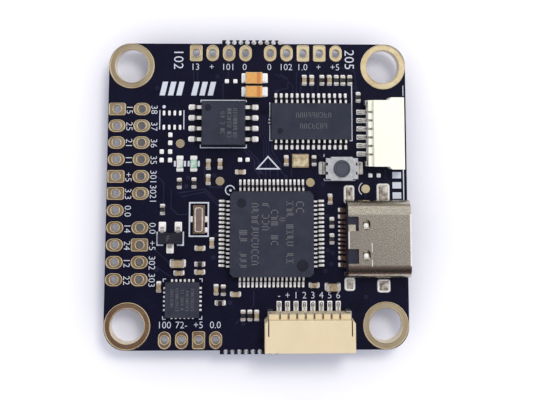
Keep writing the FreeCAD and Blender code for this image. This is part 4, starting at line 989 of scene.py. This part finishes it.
def make_mould_marks():
    """Smooth dark floors of the round marks in the chips' tops, slightly dished; their darkness is painted
    shade.
    """
    sculpt = Sculpt()
    depth = 0.08
    for node, x, y, radius in MOULD_MARKS:
        body = node_box(node)
        sculpt.mound(body.middle.x + x, body.middle.y + y, 1.9 * radius, 1.9 * radius,
                     body.high.z - depth, 0.012, 0.94 * radius, sink=0.004)
    # Painted shade: the dished floors take the darker resin look.
    sculpt.piece("mould_marks", "dark_resin", slot="chip_resin")


def make_chip_marks():
    sculpt = Sculpt()
    for node, way, rows in CHIP_MARKS:
        body = node_box(node)
        low, high = body.high.z - 0.004, body.high.z + 0.003
        for across, start, end, size in rows:
            pitch = size * 0.78
            count = int(abs(end - start) / pitch)
            for index in range(count):
                along = start + math.copysign(pitch * (index + 0.5), end - start)
                if rng.random() < 0.12:
                    continue
                x, y = (across, along) if way == "Y" else (along, across)
                cell = (size, pitch * 0.72) if way == "Y" else (pitch * 0.72, size)
                print_glyph(sculpt, body.middle.x + x, body.middle.y + y, *cell, low, high)
    sculpt.piece("chip_marks", "laser_mark")


# ---- Copper under the mask ----
# Each trace's bends, and the middles of the plated holes between layers.
TRACES = [
    [(0.6, 9.4), (0.6, 7.2), (1.04, 6.4), (1.04, 4.6), (1.54, 4.0), (1.54, 2.0)],
    [(0.9, 9.4), (0.9, 7.4), (1.34, 6.6), (1.34, 4.85), (2.4, 3.65), (2.4, 2.0)],
    [(1.2, 9.4), (1.2, 7.5), (1.74, 6.8), (1.74, 5.05), (2.75, 3.65), (2.85, 2.65), (3.4, 2.1)],
    [(0.3, 9.4), (0.3, 7.0), (0.74, 6.2), (0.74, 4.4), (1.0, 4.0), (1.0, 2.0)],
    [(-1.6, 5.2), (-0.36, 3.95), (-0.36, 2.95), (0.35, 1.9)],
    [(-1.1, 5.2), (0.1, 4.0), (0.1, 2.9), (0.7, 2.3)],
    [(2.05, 14.35), (3.45, 13.75), (4.27, 12.95), (4.27, 11.9)],
    [(2.65, 14.35), (3.65, 13.85), (3.65, 12.6), (2.4, 12.4), (2.4, 11.9)],
    [(4.7, 14.65), (4.7, 11.9)],
    [(5.2, 13.65), (5.2, 11.9)],
    [(6.15, 14.65), (6.6, 14.25), (6.6, 11.9)],
    [(7.3, 13.65), (7.3, 11.9)],
    [(9.95, 15.2), (11.8, 14.7), (12.0, 12.65), (12.35, 11.9)],
    [(-7.78, 14.6), (-7.78, 12.4)],
    [(-7.28, 14.6), (-7.28, 12.4)],
    [(-3.6, 14.6), (-3.6, 13.9)],
    [(-4.22, 13.2), (-4.22, 11.0)],
    [(3.65, 5.3), (4.1, 4.6), (4.1, 2.0)],
    [(4.7, 5.3), (5.45, 4.55)],
    [(6.87, 5.2), (7.87, 4.25)],
    [(9.5, 5.3), (9.95, 4.7)],
    [(14.7, 2.95), (14.7, 2.5)],
    [(15.4, 2.95), (15.4, 1.9), (16.1, 1.2)],
    [(-6.36, 3.5), (-6.36, 1.5), (-5.6, 0.8), (-4.1, 0.8)],
    [(-9.5, 0.1), (-6.3, 0.6), (-5.1, -0.5), (-4.3, -1.3)],
    [(-9.1, -0.3), (-6.3, 0.25), (-5.5, -0.5), (-4.3, -1.8)],
    [(-10.3, 0.5), (-10.3, -1.65), (-9.5, -2.4), (-8.3, -2.4)],
    [(-12.7, -5.95), (-9.8, -8.6), (-9.0, -8.6)],
    [(-12.7, -7.95), (-9.6, -10.0)],
    [(4.2, -10.9), (5.0, -11.3)],
    [(13.0, 0.0), (13.0, -0.7)],
    [(7.9, -10.2), (8.7, -11.0)],
    [(-2.5, -15.0), (-0.4, -12.9), (-0.4, -11.0)],
    [(-12.8, 2.0), (-11.9, 2.0), (-11.2, 1.3), (-11.2, -2.6)],
]
VIAS = [(8.3, -1.3), (8.35, -2.6), (8.9, -5.0), (8.4, -6.6), (9.0, -6.9), (8.8, -8.2), (8.1, -9.0),
        (-4.9, 14.0), (0.3, 2.6), (-8.3, 1.9), (-8.5, 0.9), (-5.2, 2.2), (3.4, 2.0), (5.4, 4.4),
        (11.9, 12.7), (-9.6, -9.5), (-4.9, -4.8), (-5.2, -7.4), (-3.2, -12.6), (-1.6, -15.0),
        (12.9, -12.0), (13.6, -13.3), (-12.2, 12.6), (-7.3, 12.2), (2.3, 12.2), (-0.5, 7.5),
        (-11.9, -8.8), (-4.7, -16.0), (7.9, 1.2)]


def make_traces():
    sculpt = Sculpt()
    for path in TRACES:
        sculpt.ribbon(path, 0.13, TOP - 0.01, TOP + 0.008)
    for x, y in VIAS:
        sculpt.bead(circle(x, y, 0.17, 16), 0.16, TOP, 0.014)
    sculpt.piece("mask_over_traces", "mask_over_copper", slot="board_laminate")


def make_fibres():
    """Torn glass fibre and splinters where the board was snapped from its panel."""
    sculpt = Sculpt()
    root, edge, longest = 17.85, 18.02, 18.44
    for way in (1, -1):
        for _ in range(26):
            middle = rng.uniform(-4.4, 2.9)
            spread = rng.uniform(0.04, 0.16)
            reach = rng.uniform(0.05, 0.42)
            for _ in range(6):
                x = rng.gauss(middle, spread)
                lean = rng.uniform(-0.35, 0.35)
                thick = rng.uniform(0.02, 0.06)
                z = rng.uniform(UNDER + 0.1, TOP - 0.12)
                start = root * way
                tip = min(edge + reach * rng.uniform(0.7, 1.0), longest) * way
                sculpt.slab([(x - thick, start), (x + thick, start), (x + lean * reach + thick / 3, tip),
                             (x + lean * reach - thick / 3, tip)][::way], z, z + thick)
    sculpt.piece("torn_fibres", "glass_fibre", slot="board_laminate")


# ---- Camera, light and floor ----
def follow_lean(data, camera, shift, lean):
    """Shifts the lens while the camera leans as it does here; with no lean it is centred."""
    curve = data.driver_add("shift_y")
    curve.driver.type = "SUM"
    variable = curve.driver.variables.new()
    variable.type = "TRANSFORMS"
    variable.targets[0].id = camera
    variable.targets[0].transform_type = "ROT_Y"
    variable.targets[0].transform_space = "WORLD_SPACE"
    for old in list(curve.modifiers):
        curve.modifiers.remove(old)
    for angle, value in ((2 * lean, 0.0), (lean, shift), (0.0, 0.0)):
        curve.keyframe_points.insert(angle, value).interpolation = "LINEAR"


def make_camera():
    """Nearly straight above, slightly off the middle, with a shifted lens."""
    place = Vector((-2.8, 7.97, 123.45))
    turn = Euler([math.radians(a) for a in (7.67, -1.82, 0.11)], "XYZ")
    data = bpy.data.cameras.new("camera")
    data.sensor_width = 36
    data.lens = 67.54
    data.clip_start = 0.005
    data.clip_end = 20
    camera = bpy.data.objects.new("camera", data)
    camera.location = place / METRE
    camera.rotation_euler = turn
    bpy.context.scene.collection.objects.link(camera)
    bpy.context.scene.camera = camera
    follow_lean(data, camera, -0.39, turn.y)


def make_floor(level):
    """White paper under the board, a little greyer wherever something stands close above it: a painted
    shadow.
    """
    mesh = bmesh.new()
    reach = 1500
    bmesh.ops.create_grid(mesh, x_segments=8, y_segments=8, size=reach / METRE)
    data = bpy.data.meshes.new("floor")
    mesh.to_mesh(data)
    mesh.free()
    floor = bpy.data.objects.new("floor", data)
    floor.location.z = level / METRE
    bpy.context.scene.collection.objects.link(floor)
    look = Look("floor_paper", (252, 252, 253), 0.85)
    # Painted shadow: occlusion turns the paper bluish grey near the board.
    openness = look.add("ShaderNodeAmbientOcclusion")
    openness.inputs["Distance"].default_value = 14 / METRE
    open_share = look.grade(openness.outputs["AO"], 0.0, 1.0, 0.45, 1.0)
    look.colour(look.mix(open_share, (214, 216, 230), (253, 253, 254)))
    look.feed(look.shader.inputs["Emission Color"], (240, 241, 255))
    look.feed(look.shader.inputs["Emission Strength"], 0.07)
    data.materials.append(look.material)


class World(Nodes):
    """The studio: an even white room for diffuse light, and a shaped one for reflections."""

    def __init__(self):
        world = bpy.data.worlds.new("studio")
        bpy.context.scene.world = world
        world.use_nodes = True
        self.tree = world.node_tree
        self.back = self.tree.nodes["Background"]
        self.way = self.add("ShaderNodeTexCoord").outputs["Generated"]

    def along(self, x, y, z):
        """How far the looked-at direction goes along a vector."""
        dot = self.add("ShaderNodeVectorMath", operation="DOT_PRODUCT")
        dot.inputs[1].default_value = (x, y, z)
        self.join(self.way, dot.inputs[0])
        return dot.outputs["Value"]

    def spread(self, factor, low, high, *stops):
        """Colours along a factor that runs from low to high."""
        return self.ramp(self.grade(factor, 0.0, 1.0, low, high), *stops)


def grey(value, warm=0.0):
    """A light level as a colour, warmer or cooler."""
    return (value * (1 + warm), value, value * (1 - warm), 1.0)


def make_world():
    """An even, slightly blue room for diffuse light, and walls and a ceiling for reflections."""
    world = World()
    rise = world.along(0, 0, 1)
    overhead = world.spread(world.along(0.707, 0.707, 0), -0.3, 0.3,
                          (0.0, (0.10, 0.06, 0.06, 1)), (0.2, (0.19, 0.12, 0.13, 1)),
                          (0.42, (0.37, 0.36, 0.40, 1)), (0.56, (0.56, 0.56, 0.58, 1)),
                          (0.72, (0.98, 0.98, 0.98, 1)), (1.0, grey(1.0)))
    behind = world.spread(rise, 0.0, 1.0, (0.0, (0.2, 0.17, 0.15, 1)), (0.24, (0.24, 0.21, 0.19, 1)),
                        (0.34, grey(1.0)), (0.68, grey(1.0)), (0.8, grey(0.6)))
    before = world.spread(rise, 0.0, 1.0, (0.0, (0.13, 0.06, 0.06, 1)), (0.34, (0.11, 0.05, 0.05, 1)),
                        (0.42, grey(0.02)), (0.66, grey(0.03)), (0.85, grey(0.12, 0.2)))
    facing = world.spread(world.along(0, 1, 0), -1.0, 1.0, (0.0, grey(0.0)), (0.35, grey(0.0)),
                        (0.62, grey(1.0)), (1.0, grey(1.0)))
    walls = world.mix(facing, before, behind)
    across = world.spread(world.along(1, 0, 0), -1.0, 1.0, (0.0, grey(1.0)), (0.14, grey(0.9)),
                        (0.26, grey(0.0)), (0.76, grey(0.0)), (0.88, grey(0.8)), (1.0, grey(1.0)))
    band = world.spread(rise, 0.0, 1.0, (0.0, grey(0.1)), (0.3, grey(0.2)), (0.42, grey(1.0)),
                      (0.7, grey(1.0)), (0.8, grey(0.3)))
    windows = world.mix(1.0, across, band, "MULTIPLY")
    bright_walls = world.mix(1.0, walls, windows, "ADD")
    lifted = world.spread(rise, 0.7, 0.88, (0.0, grey(0.0)), (1.0, grey(1.0)))
    mirrored = world.mix(lifted, bright_walls, overhead)
    path = world.add("ShaderNodeLightPath")
    room = world.mix(path.outputs["Is Glossy Ray"], (0.70, 0.715, 0.80, 1), mirrored)
    seen = world.mix(path.outputs["Is Camera Ray"], room, grey(0.97))
    world.join(seen, world.back.inputs["Color"])


def make_key_light():
    """A soft warm lamp to the upper right; reflections come from the world alone."""
    data = bpy.data.lights.new("key", "AREA")
    data.shape = "DISK"
    data.size = 0.12
    data.energy = 0.62
    data.color = (1.0, 0.95, 0.86)
    lamp = bpy.data.objects.new("key", data)
    lamp.visible_glossy = False
    place = Vector((85, 150, 330))
    lamp.location = place / METRE
    lamp.rotation_euler = (-place).to_track_quat("-Z", "Y").to_euler()
    bpy.context.scene.collection.objects.link(lamp)
    bpy.context.scene.view_settings.view_transform = "Standard"


make_looks()
dress_cad_nodes()
make_top_solder()
make_under_solder()
make_bare_lands()
make_leg_solder()
make_dark_tail_loops()
make_port_springs()
make_port_seam()
make_cover_rim()
make_pad_rims()
make_print()
make_mould_marks()
make_chip_marks()
make_traces()
make_fibres()
make_camera()
make_floor(-1.85)
make_world()
make_key_light()
